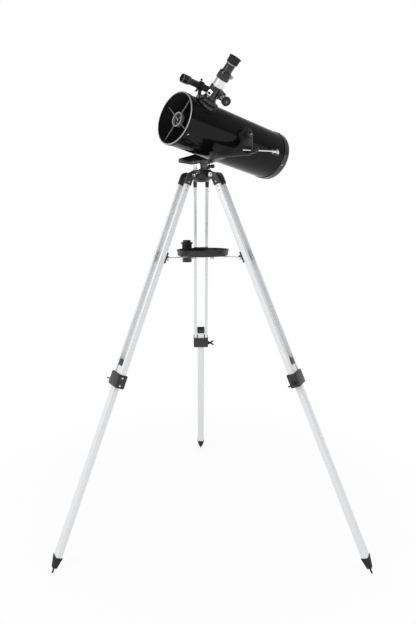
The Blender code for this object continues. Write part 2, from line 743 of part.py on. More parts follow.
def arm_outline():
    """Side view of an arm, measured from the altitude pivot: a J that sweeps back and up from the cradle."""
    front = -PIVOT_BEHIND_AXIS - CRADLE_WIDTH / 2
    back = front + CRADLE_WIDTH
    foot = FORK_BOTTOM - PIVOT_HEIGHT + CRADLE_CORNER - 0.002
    top_of_foot = FORK_BOTTOM - PIVOT_HEIGHT + CRADLE_SIDE
    lobe = (CLAMP_BEHIND + 0.002, -CLAMP_BELOW + 0.001)
    boss = (0.004, 0.002)
    throat_radius = 2.5 * ARM_BOSS_RADIUS
    throat = (boss[0] - ARM_BOSS_RADIUS + 0.003 - throat_radius, boss[1] + 0.007)
    points = [(front, foot), (back, foot)]
    points += arc(lobe, ARM_LOBE_RADIUS, -105, 0, 4)
    points += arc(boss, ARM_BOSS_RADIUS, 0, 170, 9)
    points += arc(throat, throat_radius, -10, -62, 6)
    points.append((front, top_of_foot))
    return points


def build_fork(turntable):
    half = CRADLE_WIDTH / 2
    upright = (math.radians(90), 0.0, math.radians(90))
    fork = piece("fork", extruded([cradle_outline()], 2 * half), SATIN_BLACK, turntable, rotation=upright)
    disc_top = CRADLE_THICKNESS - 2 * SEAT_GAP
    disc_low = -2 * SEAT_GAP
    profile = [
        (0.0, disc_top), (BASE_RADIUS, disc_top), (BASE_RADIUS, disc_low), (SPIGOT_RADIUS, disc_low)
    ]
    profile += [(SPIGOT_RADIUS, disc_low - SPIGOT_LENGTH), (0.0, disc_low - SPIGOT_LENGTH)]
    join(fork, turned("fork_disc", profile, SATIN_BLACK, turntable))
    pivot = (PIVOT_BEHIND_AXIS, 0.0, PIVOT_HEIGHT - FORK_BOTTOM)
    for label, side in (("near", -1), ("far", 1)):
        place = (pivot[0], side * (ARM_INNER + ARM_OUTER) / 2, pivot[2])
        arm = piece(
            f"fork_arm_{label}", extruded([arm_outline()], ARM_THICKNESS), SATIN_BLACK, turntable, place,
            TO_NEAR
        )
        soften(arm, 0.0012)
        join(fork, arm)
    cut(
        fork,
        rod("trunnion_hole", TRUNNION_RADIUS + SLIDE_GAP, -0.2, 0.2, SATIN_BLACK, turntable, pivot, TO_NEAR)
    )
    clamp_place = (pivot[0] + CLAMP_BEHIND, 0.0, pivot[2] - CLAMP_BELOW)
    radius = SWIVEL_STUD_RADIUS + SLIDE_GAP
    cut(
        fork,
        rod("swivel_hole", radius, ARM_INNER - 0.02, 0.2, SATIN_BLACK, turntable, clamp_place, TO_NEAR)
    )


def knob_profile(radius, seat, length):
    """A round hand knob, with a collar on its seat and a domed end."""
    high = seat + length
    profile = [
        (0.0, high), (0.6 * radius, high), (radius, high - 0.2 * length), (radius, seat + 0.35 * length)
    ]
    profile += [(0.75 * radius, seat + 0.25 * length), (0.75 * radius, seat), (0.0, seat)]
    return profile


def build_altitude_knobs(turntable):
    pivot = (PIVOT_BEHIND_AXIS, 0.0, PIVOT_HEIGHT - FORK_BOTTOM)
    profile = knob_profile(ALTITUDE_KNOB_RADIUS, ARM_OUTER + SEAT_GAP, ALTITUDE_KNOB_LENGTH)
    for label, direction in (("near", TO_NEAR), ("far", TO_FAR)):
        turned(f"altitude_knob_{label}", profile, BLACK_PLASTIC, turntable, pivot, direction, SMALL)


# Slow-motion rod


def rod_eye():
    """Eyelet's place behind and above the altitude pivot, with the tube at rest."""
    tilt = math.radians(TILT)
    back = ROD_EYE_BEHIND * math.cos(tilt) - ROD_EYE_BELOW * math.sin(tilt)
    up = -ROD_EYE_BEHIND * math.sin(tilt) - ROD_EYE_BELOW * math.cos(tilt)
    return back, up


def rod_run():
    """Slope and length of the rod between its swivel clamp and its eyelet."""
    back, up = rod_eye()
    run = back - CLAMP_BEHIND
    rise = up + CLAMP_BELOW
    return math.atan2(rise, run), math.hypot(run, rise)


def build_rod(tube_frame, turntable):
    slope, span = rod_run()
    eye = (ROD_EYE_BEHIND, 0.0, -ROD_EYE_BELOW)
    half_eye = ROD_RADIUS + 0.0005
    low = ROD_PLANE - half_eye
    high = ROD_PLANE + half_eye
    pin = ROD_RADIUS
    profile = [
        (0.0, high + 0.003), (pin + 0.002, high + 0.0025), (pin + 0.002, high + SEAT_GAP),
        (pin, high + SEAT_GAP)
    ]
    profile += [(pin, low - SEAT_GAP), (2 * pin, low - SEAT_GAP), (2 * pin, TUBE_RADIUS + 0.005)]
    profile += [(0.011, TUBE_RADIUS + 0.003), (0.011, TUBE_RADIUS - 0.012), (0.0, TUBE_RADIUS - 0.012)]
    bracket = turned("rod_bracket", profile, CHROME, tube_frame, eye, TO_NEAR, SMALL)
    cut(
        bracket,
        tube_surface_cutter("rod_bracket_saddle", tube_frame, SEAT_GAP, (ROD_EYE_BEHIND, 0.0, 0.0))
    )
    swing = frame("rod_frame", tube_frame, eye, (0.0, -slope - math.radians(TILT), 0.0))
    bar = rod(
        "slow_rod", ROD_RADIUS, -span - ROD_FREE_END, -0.004, CHROME, swing, (0.0, -ROD_PLANE, 0.0),
        ALONG_X, SMALL
    )
    join(bar, rod("slow_rod_eye", ROD_EYE_RADIUS, low, high, CHROME, swing, rotation=TO_NEAR))
    cut(
        bar,
        rod("slow_rod_hole", pin + SLIDE_GAP, low - 0.01, high + 0.01, CHROME, swing, rotation=TO_NEAR)
    )

    clamp_place = (PIVOT_BEHIND_AXIS + CLAMP_BEHIND, 0.0, PIVOT_HEIGHT - FORK_BOTTOM - CLAMP_BELOW)
    swivel = frame("swivel_frame", turntable, clamp_place, (0.0, -slope, 0.0))
    x = SWIVEL_LENGTH / 2
    z = SWIVEL_HEIGHT / 2
    slot = ROD_RADIUS + SLIDE_GAP
    outer = ROD_PLANE + slot + SWIVEL_WALL
    clamp = piece(
        "rod_clamp", block((-x, -outer, -z), (x, -ARM_OUTER - SEAT_GAP, z)), BLACK_PLASTIC, swivel
    )
    soften(clamp, 0.003, 2)
    stud = rod(
        "rod_clamp_stud", SWIVEL_STUD_RADIUS, ARM_INNER, ARM_OUTER + 0.004, STEEL, swivel,
        rotation=TO_NEAR
    )
    join(clamp, stud)
    slot_z = ROD_RADIUS + SLOT_PLAY
    low = (-2 * x, -ROD_PLANE - slot, -slot_z)
    high = (2 * x, -ROD_PLANE + slot, slot_z)
    cut(clamp, piece("rod_clamp_slot", block(low, high), BLACK_PLASTIC, swivel))
    screw = 0.0025
    hole = rod(
        "rod_knob_hole", screw + SLIDE_GAP, ROD_PLANE, outer + 0.01, BLACK_PLASTIC, swivel,
        rotation=TO_NEAR
    )
    cut(clamp, hole)
    profile = knob_profile(ROD_KNOB_RADIUS, outer + SEAT_GAP, 0.014)[:-1]
    profile += [
        (screw, outer + SEAT_GAP), (screw, ROD_PLANE + slot + SEAT_GAP),
        (0.0, ROD_PLANE + slot + SEAT_GAP)
    ]
    turned("rod_knob", profile, BLACK_PLASTIC, swivel, rotation=TO_NEAR, steps=SMALL)


# Main tube and optics


def spider_rear():
    return TUBE_FRONT + SPIDER_INSET + SPIDER_DEPTH


def build_tube(tube_frame, focuser):
    front = TUBE_FRONT + FRONT_LIP + SEAT_GAP
    rear = TUBE_REAR - REAR_CELL_LENGTH
    tube = rod("tube", TUBE_RADIUS, front, rear, GLOSS_BLACK, tube_frame, rotation=ALONG_X, steps=FINE)
    pad = ARM_INNER - SEAT_GAP
    tip = ARM_OUTER - SEAT_GAP
    profile = [
        (0.0, tip), (TRUNNION_RADIUS, tip), (TRUNNION_RADIUS, pad), (TRUNNION_PAD_RADIUS - 0.001, pad)
    ]
    profile += [
        (TRUNNION_PAD_RADIUS, pad - 0.001), (TRUNNION_PAD_RADIUS, TUBE_RADIUS - 0.01),
        (0.0, TUBE_RADIUS - 0.01)
    ]
    for label, direction in (("near", TO_NEAR), ("far", TO_FAR)):
        join(tube, turned(f"trunnion_{label}", profile, GLOSS_BLACK, tube_frame, rotation=direction))
    bore_steps = FINE + BORE_OFFSET
    cut(
        tube,
        rod("tube_bore", TUBE_INNER, front - 0.05, rear + 0.05, GLOSS_BLACK, tube_frame, (0, 0, 0), ALONG_X, bore_steps)
    )
    hole = DRAWTUBE_RADIUS + RACK_STANDOFF + 2 * GEAR_MODULE
    cut(tube, rod("focuser_opening", hole, TUBE_RADIUS / 2, TUBE_RADIUS + 0.02, GLOSS_BLACK, focuser))


def build_front_ring(tube_frame):
    front = TUBE_FRONT
    back = TUBE_FRONT + FRONT_RING_LENGTH
    seat = TUBE_RADIUS + SEAT_GAP
    lip = RING_RADIUS - FRONT_LIP_DEPTH - RING_THICKNESS
    profile = [(RING_RADIUS - 0.0005, back), (RING_RADIUS, back - 0.0005), (RING_RADIUS, front + 0.0015)]
    profile += [(RING_RADIUS - 0.0015, front), (lip + 0.001, front), (lip, front + 0.001)]
    profile += [(lip, front + FRONT_LIP), (seat, front + FRONT_LIP), (seat, back)]
    turned("front_ring", profile, SILVER_PAINT, tube_frame, rotation=ALONG_X, steps=FINE)


def build_spider(tube_frame):
    front = TUBE_FRONT + SPIDER_INSET
    rear = spider_rear()
    wall = SPIDER_HUB_RADIUS - SPIDER_HUB_WALL
    plate = rear - 0.003
    profile = [
        (0.0, rear), (SPIDER_HUB_RADIUS, rear), (SPIDER_HUB_RADIUS, front), (wall, front), (wall, plate),
        (0.0, plate)
    ]
    spider = turned("spider", profile, SILVER_PAINT, tube_frame, rotation=ALONG_X)
    half = VANE_THICKNESS / 2
    low = (front + 0.001, -half, wall + 0.002)
    high = (rear - 0.001, half, TUBE_INNER - 2 * SEAT_GAP)
    for angle in VANE_ANGLES:
        vane = piece(
            f"vane_{angle:.0f}", block(low, high), SILVER_PAINT, tube_frame,
            rotation=(math.radians(angle), 0.0, 0.0)
        )
        join(spider, vane)


def build_secondary(focuser):
    """Flat mirror at 45 degrees on the tube's axis, below the focuser, on a holder behind the spider."""
    tilt = (0.0, math.radians(45), 0.0)
    holder_radius = SECONDARY_RADIUS + 0.0005
    start = spider_rear() - FOCUSER_X + SEAT_GAP
    reach = 2 * SECONDARY_RADIUS
    profile = [
        (0.0, reach), (holder_radius, reach), (holder_radius, start + 0.010), (0.008, start + 0.008)
    ]
    profile += [(0.008, start), (0.0, start)]
    holder = turned("secondary_holder", profile, BLACK_PLASTIC, focuser, rotation=ALONG_X)
    half = 2 * reach
    low = (-half, -half, -SECONDARY_THICKNESS - SEAT_GAP)
    cut(
        holder,
        piece("holder_slope", block(low, (half, half, half)), BLACK_PLASTIC, focuser, rotation=tilt)
    )
    mirror = rod(
        "secondary_mirror", SECONDARY_RADIUS, -half, half, MIRROR, focuser, rotation=ALONG_X, steps=MEDIUM
    )
    slab = piece(
        "mirror_slab", block((-half, -half, -SECONDARY_THICKNESS), (half, half, 0.0)), MIRROR, focuser,
        rotation=tilt
    )
    combine(mirror, slab, "INTERSECT")


def build_primary(tube_frame):
    rear = TUBE_REAR
    ring_front = rear - REAR_CELL_LENGTH + SEAT_GAP
    plug = TUBE_INNER - SLIDE_GAP
    plug_inner = plug - 0.003
    plate_back = rear - 0.007
    plate_front = plate_back - 0.0055
    seat = ring_front + 0.004
    ridge = 0.7 * PRIMARY_RADIUS
    edge = RING_RADIUS
    profile = [(0.0, plate_back), (edge - 0.019, plate_back), (edge - 0.013, rear), (edge - 0.006, rear)]
    profile += [
        (edge - 0.0015, rear - 0.0025), (edge, rear - 0.007), (edge, ring_front), (plug, ring_front)
    ]
    profile += [
        (plug, ring_front - REAR_SPIGOT), (plug_inner, ring_front - REAR_SPIGOT),
        (plug_inner, plate_front)
    ]
    profile += [(ridge + 0.003, plate_front), (ridge + 0.003, seat), (ridge - 0.003, seat)]
    profile += [(ridge - 0.003, plate_front), (0.0, plate_front)]
    turned("rear_cell", profile, GLOSS_BLACK, tube_frame, rotation=ALONG_X, steps=FINE)
    back = seat - SEAT_GAP
    front = back - PRIMARY_THICKNESS
    profile = [(0.0, back), (PRIMARY_RADIUS, back)]
    for i in range(5):
        r = PRIMARY_RADIUS * (1 - i / 4)
        profile.append((r, front + PRIMARY_SAG * (1 - (r / PRIMARY_RADIUS) ** 2)))
    turned("primary_mirror", profile, MIRROR, tube_frame, rotation=ALONG_X, steps=FINE)


# Focuser and eyepiece. Heights are measured from the tube's surface


def build_focuser_housing(focuser):
    base = TUBE_RADIUS
    top = base + HOUSING_HEIGHT
    skirt = HOUSING_RADIUS + 0.0035
    profile = [
        (0.0, top), (HOUSING_RADIUS - 0.0015, top), (HOUSING_RADIUS, top - 0.0015),
        (HOUSING_RADIUS, base + 0.022)
    ]
    profile += [(skirt, base + 0.014), (skirt, base - 0.02), (0.0, base - 0.02)]
    off_seam = (0.0, 0.0, math.radians(4))
    housing = turned("focuser_housing", profile, BLACK_PLASTIC, focuser, rotation=off_seam)
    saddle = rod(
        "saddle", SADDLE_RADIUS, base / 2, base + 0.03, BLACK_PLASTIC, focuser, rotation=off_seam,
        steps=MEDIUM
    )
    combine(saddle, tube_surface_cutter("saddle_top", focuser, SADDLE_THICKNESS), "INTERSECT")
    join(housing, saddle)
    half_x = PITCH_RADIUS + GEAR_MODULE + BLOCK_WALL
    low = (HOUSING_RADIUS / 2, -BLOCK_HALF_WIDTH, base + PINION_HEIGHT - BLOCK_HALF_HEIGHT)
    high = (PINION_BEHIND + half_x, BLOCK_HALF_WIDTH, base + PINION_HEIGHT + BLOCK_HALF_HEIGHT)
    pinion_block = piece("pinion_block", block(low, high), BLACK_PLASTIC, focuser)
    soften(pinion_block, 0.002, 2)
    join(housing, pinion_block)
    cut(housing, tube_surface_cutter("housing_saddle", focuser, SEAT_GAP))
    bore = DRAWTUBE_RADIUS + SLIDE_GAP
    bore_steps = MEDIUM + BORE_OFFSET
    cut(
        housing,
        rod("drawtube_bore", bore, 0.0, 2 * top, BLACK_PLASTIC, focuser, rotation=off_seam, steps=bore_steps)
    )
    channel_y = RACK_WIDTH / 2 + SLIDE_GAP
    low = (0.0, -channel_y, 0.0)
    high = (DRAWTUBE_RADIUS + RACK_STANDOFF + 2 * GEAR_MODULE, channel_y, 2 * top)
    cut(housing, piece("rack_channel", block(low, high), BLACK_PLASTIC, focuser))
    axle = (PINION_BEHIND, 0.0, base + PINION_HEIGHT)
    room = PITCH_RADIUS + 2 * GEAR_MODULE
    side = PINION_WIDTH / 2 + 2 * SLIDE_GAP
    cut(housing, rod("pinion_room", room, -side, side, BLACK_PLASTIC, focuser, axle, TO_NEAR))
    cut(
        housing,
        rod("shaft_bore", SHAFT_RADIUS + SLIDE_GAP, -0.05, 0.05, BLACK_PLASTIC, focuser, axle, TO_NEAR)
    )


def rack_outline():
    """Side view of the rack: X is the distance from the drawtube's axis, Y the height over the tube."""
    back = DRAWTUBE_RADIUS - DRAWTUBE_WALL / 2
    pitch_line = DRAWTUBE_RADIUS + RACK_STANDOFF
    root = pitch_line - 1.1 * GEAR_MODULE
    tip = pitch_line + 0.75 * GEAR_MODULE
    first_gap = math.floor((PINION_HEIGHT - RACK_LOW) / TOOTH_PITCH)
    start = PINION_HEIGHT - first_gap * TOOTH_PITCH
    points = [(back, start), (root, start)]
    for i in range(RACK_TEETH):
        middle = start + (i + 0.5) * TOOTH_PITCH
        wide = 0.33 * TOOTH_PITCH
        narrow = 0.14 * TOOTH_PITCH
        points += [
            (root, middle - wide), (tip, middle - narrow), (tip, middle + narrow), (root, middle + wide)
        ]
    end = start + RACK_TEETH * TOOTH_PITCH
    points += [(root, end), (back, end)]
    return points


def pinion_outline():
    """End view of the pinion, with one tooth pointing to -X, into the rack's gap."""
    root = PITCH_RADIUS - 1.1 * GEAR_MODULE
    tip = PITCH_RADIUS + 0.75 * GEAR_MODULE
    step = 360 / PINION_TEETH
    points = []
    for i in range(PINION_TEETH):
        middle = 180 + i * step
        for radius, offset in ((root, -0.30), (tip, -0.10), (tip, 0.10), (root, 0.30)):
            angle = math.radians(middle + offset * step)
            points.append((radius * math.cos(angle), radius * math.sin(angle)))
    return points


def build_drawtube(focuser):
    base = TUBE_RADIUS
    inner = DRAWTUBE_RADIUS - DRAWTUBE_WALL
    tube = ring(
        "drawtube", DRAWTUBE_RADIUS, inner, base + DRAWTUBE_LOW, base + DRAWTUBE_HIGH, CHROME, focuser
    )
    rack = piece(
        "rack", extruded([rack_outline()], RACK_WIDTH), CHROME, focuser, (0.0, 0.0, base), TO_NEAR
    )
    join(tube, rack)


def build_focus_drive(focuser):
    axle = frame("focus_axle", focuser, (PINION_BEHIND, 0.0, TUBE_RADIUS + PINION_HEIGHT))
    end = FOCUS_KNOB_INNER + FOCUS_KNOB_LENGTH / 2
    shaft = rod("focus_shaft", SHAFT_RADIUS, -end, end, STEEL, axle, rotation=TO_NEAR)
    join(
        shaft, piece("pinion", extruded([pinion_outline()], PINION_WIDTH), STEEL, axle, rotation=TO_NEAR)
    )
    low = FOCUS_KNOB_INNER
    high = low + FOCUS_KNOB_LENGTH
    edge = FOCUS_KNOB_RADIUS
    bore = SHAFT_RADIUS + SEAT_GAP
    profile = [
        (0.0, high - 0.001), (edge - 0.005, high - 0.001), (edge - 0.004, high), (edge - 0.0015, high)
    ]
    profile += [
        (edge, high - 0.0015), (edge, low + 0.001), (edge - 0.001, low), (bore, low),
        (bore, end + SEAT_GAP)
    ]
    profile.append((0.0, end + SEAT_GAP))
    for label, direction in (("near", TO_NEAR), ("far", TO_FAR)):
        turned(f"focus_knob_{label}", profile, BLACK_PLASTIC, axle, rotation=direction)


def build_eyepiece(focuser):
    base = TUBE_RADIUS
    low = base + HOLDER_LOW
    high = base + HOLDER_HIGH
    skirt = DRAWTUBE_RADIUS + SEAT_GAP
    step = base + DRAWTUBE_HIGH + SEAT_GAP
    bore = BARREL_RADIUS + SEAT_GAP
    profile = [
        (HOLDER_RADIUS - 0.0015, high), (HOLDER_RADIUS, high - 0.0015), (HOLDER_RADIUS, low + 0.0015)
    ]
    profile += [(HOLDER_RADIUS - 0.0015, low), (skirt, low), (skirt, step), (bore, step), (bore, high)]
    holder = turned("eyepiece_holder", profile, BLACK_PLASTIC, focuser)
    screw_height = (high + step) / 2
    stud = 0.002
    axis = frame("eyepiece_screw_frame", focuser, (0.0, 0.0, screw_height), ALONG_X)
    cut(
        holder,
        rod("eyepiece_screw_hole", stud + SLIDE_GAP, BARREL_RADIUS - 0.004, 0.03, BLACK_PLASTIC, axis)
    )
    seat = HOLDER_RADIUS + 0.0007
    profile = [
        (0.0, seat + 0.011), (0.0045, seat + 0.011), (0.0055, seat + 0.010), (0.0055, seat + 0.003)
    ]
    profile += [
        (0.0035, seat + 0.002), (0.0035, seat), (stud, seat), (stud, bore + SEAT_GAP),
        (0.0, bore + SEAT_GAP)
    ]
    turned("eyepiece_screw", profile, CHROME, axis, steps=SMALL)

    shoulder = high + SEAT_GAP
    bottom = high - BARREL_DEPTH
    neck_top = base + EYEPIECE_TOP
    body_top = base + EYEPIECE_BODY_TOP
    neck = EYEPIECE_NECK_RADIUS
    body = EYEPIECE_BODY_RADIUS
    profile = [(0.0, neck_top - 0.004), (0.009, neck_top - 0.004), (0.0105, neck_top), (neck, neck_top)]
    profile += [
        (neck, body_top), (body, body_top), (body, shoulder + 0.004), (EYEPIECE_FLANGE, shoulder + 0.003)
    ]
    profile += [(EYEPIECE_FLANGE, shoulder), (BARREL_RADIUS, shoulder), (BARREL_RADIUS, bottom)]
    profile += [
        (BARREL_RADIUS - 0.0025, bottom), (BARREL_RADIUS - 0.0025, bottom + 0.02), (0.0, bottom + 0.02)
    ]
    turned("eyepiece", profile, BLACK_PLASTIC, focuser)
    seat = body_top + SEAT_GAP
    top = base + EYECUP_TOP
    sleeve = neck + SEAT_GAP
    profile = [(EYECUP_FLARE - 0.001, top), (EYECUP_FLARE, top - 0.001), (EYECUP_FLARE, top - 0.003)]
    profile += [
        (EYECUP_RADIUS, top - 0.004), (EYECUP_RADIUS, seat + 0.002), (EYECUP_RADIUS - 0.002, seat),
        (sleeve, seat)
    ]
    profile += [(sleeve, neck_top + SEAT_GAP), (sleeve + 0.003, top)]
    turned("eyecup", profile, BLACK_RUBBER, focuser)


# Finder


def build_finder(tube_frame):
    height = TUBE_RADIUS + FINDER_RISE
    axis = (0.0, 0.0, height)
    front = TUBE_FRONT + FINDER_FROM_FRONT
    rear = front + FINDER_LENGTH
    cell = FINDER_CELL_RADIUS
    thin = FINDER_RADIUS
    cell_end = front + FINDER_CELL_LENGTH
    profile = [
        (0.0, rear - 0.004), (0.006, rear - 0.004), (0.007, rear), (thin - 0.0015, rear),
        (thin - 0.0005, rear - 0.012)
    ]
    profile += [(thin + 0.0015, rear - 0.013), (thin + 0.0015, rear - 0.030), (thin, rear - 0.032)]
    profile += [(thin, cell_end + 0.006), (cell, cell_end), (cell, front + 0.001), (cell - 0.001, front)]
    profile += [(cell - 0.002, front), (cell - 0.0025, front + 0.008), (0.0, front + 0.008)]
    turned("finder_tube", profile, BLACK_PLASTIC, tube_frame, axis, ALONG_X)

    middle = TUBE_FRONT + FINDER_RING_FROM_FRONT
    outer = FINDER_RING_RADIUS
    half = FINDER_RING_WIDTH / 2
    place = (middle, 0.0, height)
    bracket = ring(
        "finder_bracket", outer, outer - FINDER_RING_WALL, -half, half, BLACK_PLASTIC, tube_frame, place,
        ALONG_X
    )
    tip = thin + SEAT_GAP
    profile = [
        (0.0, outer + 0.009), (0.004, outer + 0.009), (0.004, outer + 0.004), (0.0022, outer + 0.003)
    ]
    profile += [(0.0022, tip), (0.0, tip)]
    for number, angle in enumerate((0.0, 120.0, 240.0), start=1):
        turn = (math.radians(angle), 0.0, 0.0)
        join(
            bracket,
            turned(f"finder_screw_{number}", profile, BLACK_PLASTIC, tube_frame, place, turn, SMALL)
        )
    low = (middle - 0.004, -0.005, TUBE_RADIUS)
    high = (middle + 0.004, 0.005, height - outer + FINDER_RING_WALL / 2)
    join(bracket, piece("finder_post", block(low, high), BLACK_PLASTIC, tube_frame))
    half = (FINDER_FOOT_LENGTH / 2, FINDER_FOOT_WIDTH / 2)
    low = (middle - half[0], -half[1], TUBE_RADIUS - 0.006)
    high = (middle + half[0], half[1], TUBE_RADIUS + FINDER_FOOT_THICKNESS)
    foot = piece("finder_foot", block(low, high), BLACK_PLASTIC, tube_frame)
    soften(foot, 0.0015)
    join(bracket, foot)
    cut(bracket, tube_surface_cutter("finder_saddle", tube_frame, SEAT_GAP, (middle, 0.0, 0.0)))


def main():
    tripod = frame("tripod", location=(0.0, AXIS_Y, 0.0))
    for number, direction in enumerate(LEG_DIRECTIONS, start=1):
        build_leg(number, direction, tripod)
    build_tray(tripod)
    build_hub(tripod)
    build_azimuth_base(tripod)
    turntable = frame(
        "turntable", tripod, (0.0, 0.0, FORK_BOTTOM), (0.0, 0.0, math.radians(POINTING_DIRECTION))
    )
    build_fork(turntable)
    build_altitude_knobs(turntable)
    pivot = (PIVOT_BEHIND_AXIS, 0.0, PIVOT_HEIGHT - FORK_BOTTOM)
    tube_frame = frame("tube_frame", turntable, pivot, (0.0, math.radians(TILT), 0.0))
    build_rod(tube_frame, turntable)
    focuser = frame(
        "focuser_frame", tube_frame, (FOCUSER_X, 0.0, 0.0), (math.radians(FOCUSER_ANGLE), 0.0, 0.0)
    )
    build_tube(tube_frame, focuser)
    build_front_ring(tube_frame)
    build_spider(tube_frame)
    build_secondary(focuser)
    build_primary(tube_frame)
    build_focuser_housing(focuser)
    build_drawtube(focuser)
    build_focus_drive(focuser)
    build_eyepiece(focuser)
    build_finder(tube_frame)


main()
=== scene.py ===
"""Looks of a newtonian reflector telescope in a fork mount, on an aluminium field tripod."""

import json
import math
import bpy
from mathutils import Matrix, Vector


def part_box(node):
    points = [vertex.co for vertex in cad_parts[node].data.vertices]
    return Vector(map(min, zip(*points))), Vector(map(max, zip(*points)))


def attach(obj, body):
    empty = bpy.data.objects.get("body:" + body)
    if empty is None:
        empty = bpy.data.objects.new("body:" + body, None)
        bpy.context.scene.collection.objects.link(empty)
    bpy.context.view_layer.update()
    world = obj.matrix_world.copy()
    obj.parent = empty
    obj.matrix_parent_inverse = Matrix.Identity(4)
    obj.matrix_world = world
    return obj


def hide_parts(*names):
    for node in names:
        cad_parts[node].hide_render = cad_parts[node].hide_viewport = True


bl_info = {
    "name": "Newtonian Reflector Telescope",
    "version": (1, 0, 0),
    "blender": (4, 5, 0),
    "location": "View3D > Sidebar > Telescope",
    "description": "Builds the finished pieces of a reflector telescope and its tripod round a packed frame",
    "category": "Object",
}

import bmesh
import bpy
from mathutils import Matrix, Vector

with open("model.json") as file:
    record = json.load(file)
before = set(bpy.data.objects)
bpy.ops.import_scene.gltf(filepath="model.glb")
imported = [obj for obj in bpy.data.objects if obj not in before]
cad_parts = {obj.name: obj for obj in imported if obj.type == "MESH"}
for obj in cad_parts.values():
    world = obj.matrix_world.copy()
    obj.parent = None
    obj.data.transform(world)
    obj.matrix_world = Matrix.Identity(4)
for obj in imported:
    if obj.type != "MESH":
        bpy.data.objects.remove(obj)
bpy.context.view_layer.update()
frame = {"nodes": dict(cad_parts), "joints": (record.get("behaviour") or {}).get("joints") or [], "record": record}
JOINTS = {joint["name"]: joint for joint in frame["joints"]}

# Sizes that the pieces share with the frame
GAP = 0.0003
TUBE_RADIUS = 0.087
TUBE_INNER = 0.0855
TUBE_FRONT = -0.229
TUBE_REAR = 0.229
RING_RADIUS = 0.089
CELL_LENGTH = 0.028
FOCUSER_X = TUBE_FRONT + 0.078
PINION_BEHIND = 0.028
PINION_HEIGHT = 0.041
ARM_INNER = 0.0915
ARM_OUTER = 0.1005
ROD_PLANE = 0.1135
FINDER_HEIGHT = 0.138
SHOULDER_HEIGHT = 1.143
LEG_LENGTH = 1.234344
SCREW_DISTANCE = 0.690
TRAY_BOTTOM = 0.873514
TRAY_HOLES = (150, 270, 30)
TRAY_HOLE_CIRCLE = 0.060
LEG_DIRECTIONS = (210, 330, 90)
RAIL_INNER = 0.0155
RAIL_MIDDLE = 0.0205
RAIL_OUTER = 0.0255
RAIL_TOP = -0.040
RAIL_BOTTOM = -0.681

# The photograph's view
VIEW_PLACE = (-0.0693, -1.8425, 1.0149)
VIEW_AHEAD = (-0.0222, 0.99975, 0.0)
VIEW_ROLL = 0.0142
VIEW_SHIFT = (0.0611, -0.1583)

# Finishes by their short names
LOOKS = {}

ALONG_X = Matrix.Rotation(math.radians(90), 4, "Y")
TO_NEAR = Matrix.Rotation(math.radians(90), 4, "X")
TO_FAR = Matrix.Rotation(math.radians(-90), 4, "X")


def axes(origin, x, y, z):
    """A placement from an origin and three directions."""
    made = Matrix((x, y, z)).transposed().to_4x4()
    made.translation = origin
    return made


def tube_place():
    """The main tube: X to the rear along its axis, Z up across it, -Y the side the eyepiece leans to."""
    y = Vector(JOINTS["altitude"]["axis"])
    x = y.cross(Vector(JOINTS["focus"]["axis"])).normalized()
    return axes(Vector(JOINTS["altitude"]["pos_m"]), x, y, x.cross(y))


def focuser_place():
    """The focuser: Z out along the drawtube from the tube's axis, X to the rear."""
    z = Vector(JOINTS["focus"]["axis"])
    x = tube_place().to_3x3().col[0]
    return axes(tube_place() @ Vector((FOCUSER_X, 0.0, 0.0)), x, z.cross(x), z)


def turntable_place():
    """The fork's foot on the azimuth axis: X to the rear, Z up."""
    y = Vector(JOINTS["altitude"]["axis"])
    z = Vector((0.0, 0.0, 1.0))
    return axes(Vector(JOINTS["azimuth"]["pos_m"]), y.cross(z), y, z)


def rod_place(end):
    """The slow-motion rod's eyelet or clamp: X along the rod to the rear."""
    clamp = Vector(JOINTS["rod_swivel"]["pos_m"])
    eyelet = Vector(JOINTS["rod_eyelet"]["pos_m"])
    x = (eyelet - clamp).normalized()
    y = Vector(JOINTS["altitude"]["axis"])
    return axes(eyelet if end == "eyelet" else clamp, x, y, x.cross(y))


def leg_place(number):
    """A leg's shoulder: Z up the leg, X outwards, -Y the clamp screw's side."""
    z = Vector(JOINTS[f"leg_{number}_extension"]["axis"])
    y = -Vector(JOINTS[f"leg_{number}_clamp_turn"]["axis"])
    made = axes(Vector((0.0, 0.0, 0.0)), y.cross(z), y, z)
    screw = Vector(JOINTS[f"leg_{number}_clamp_turn"]["pos_m"])
    made.translation = screw - made.to_3x3() @ Vector((0.0, -0.035, -SCREW_DISTANCE))
    return made


def spoke_place(direction):
    """A frame on the tripod's axis at the ground, with X towards a leg or a hole of the tray."""
    axis = Vector(JOINTS["azimuth"]["pos_m"])
    axis.z = 0.0
    return Matrix.Translation(axis) @ Matrix.Rotation(math.radians(direction), 4, "Z")


def at(x=0.0, y=0.0, z=0.0):
    return Matrix.Translation((x, y, z))


def turn(degrees, axis):
    return Matrix.Rotation(math.radians(degrees), 4, axis)


def arc(centre, radius, start, end, steps):
    """Points on an arc, ends included. Angles are in degrees."""
    points = []
    for i in range(steps + 1):
        angle = math.radians(start + (end - start) * i / steps)
        points.append((centre[0] + radius * math.cos(angle), centre[1] + radius * math.sin(angle)))
    return points


def mm(points, base=0.0):
    """Points in millimetres, as metres. The second value counts from a base, which is in metres."""
    return [(x / 1000, base + y / 1000) for x, y in points]


def rounded(width, height, corner, steps=5):
    """Outline of a rectangle with round corners."""
    x = width / 2 - corner
    y = height / 2 - corner
    points = arc((x, y), corner, 0, 90, steps)
    points += arc((-x, y), corner, 90, 180, steps)
    points += arc((-x, -y), corner, 180, 270, steps)
    points += arc((x, -y), corner, 270, 360, steps)
    return points


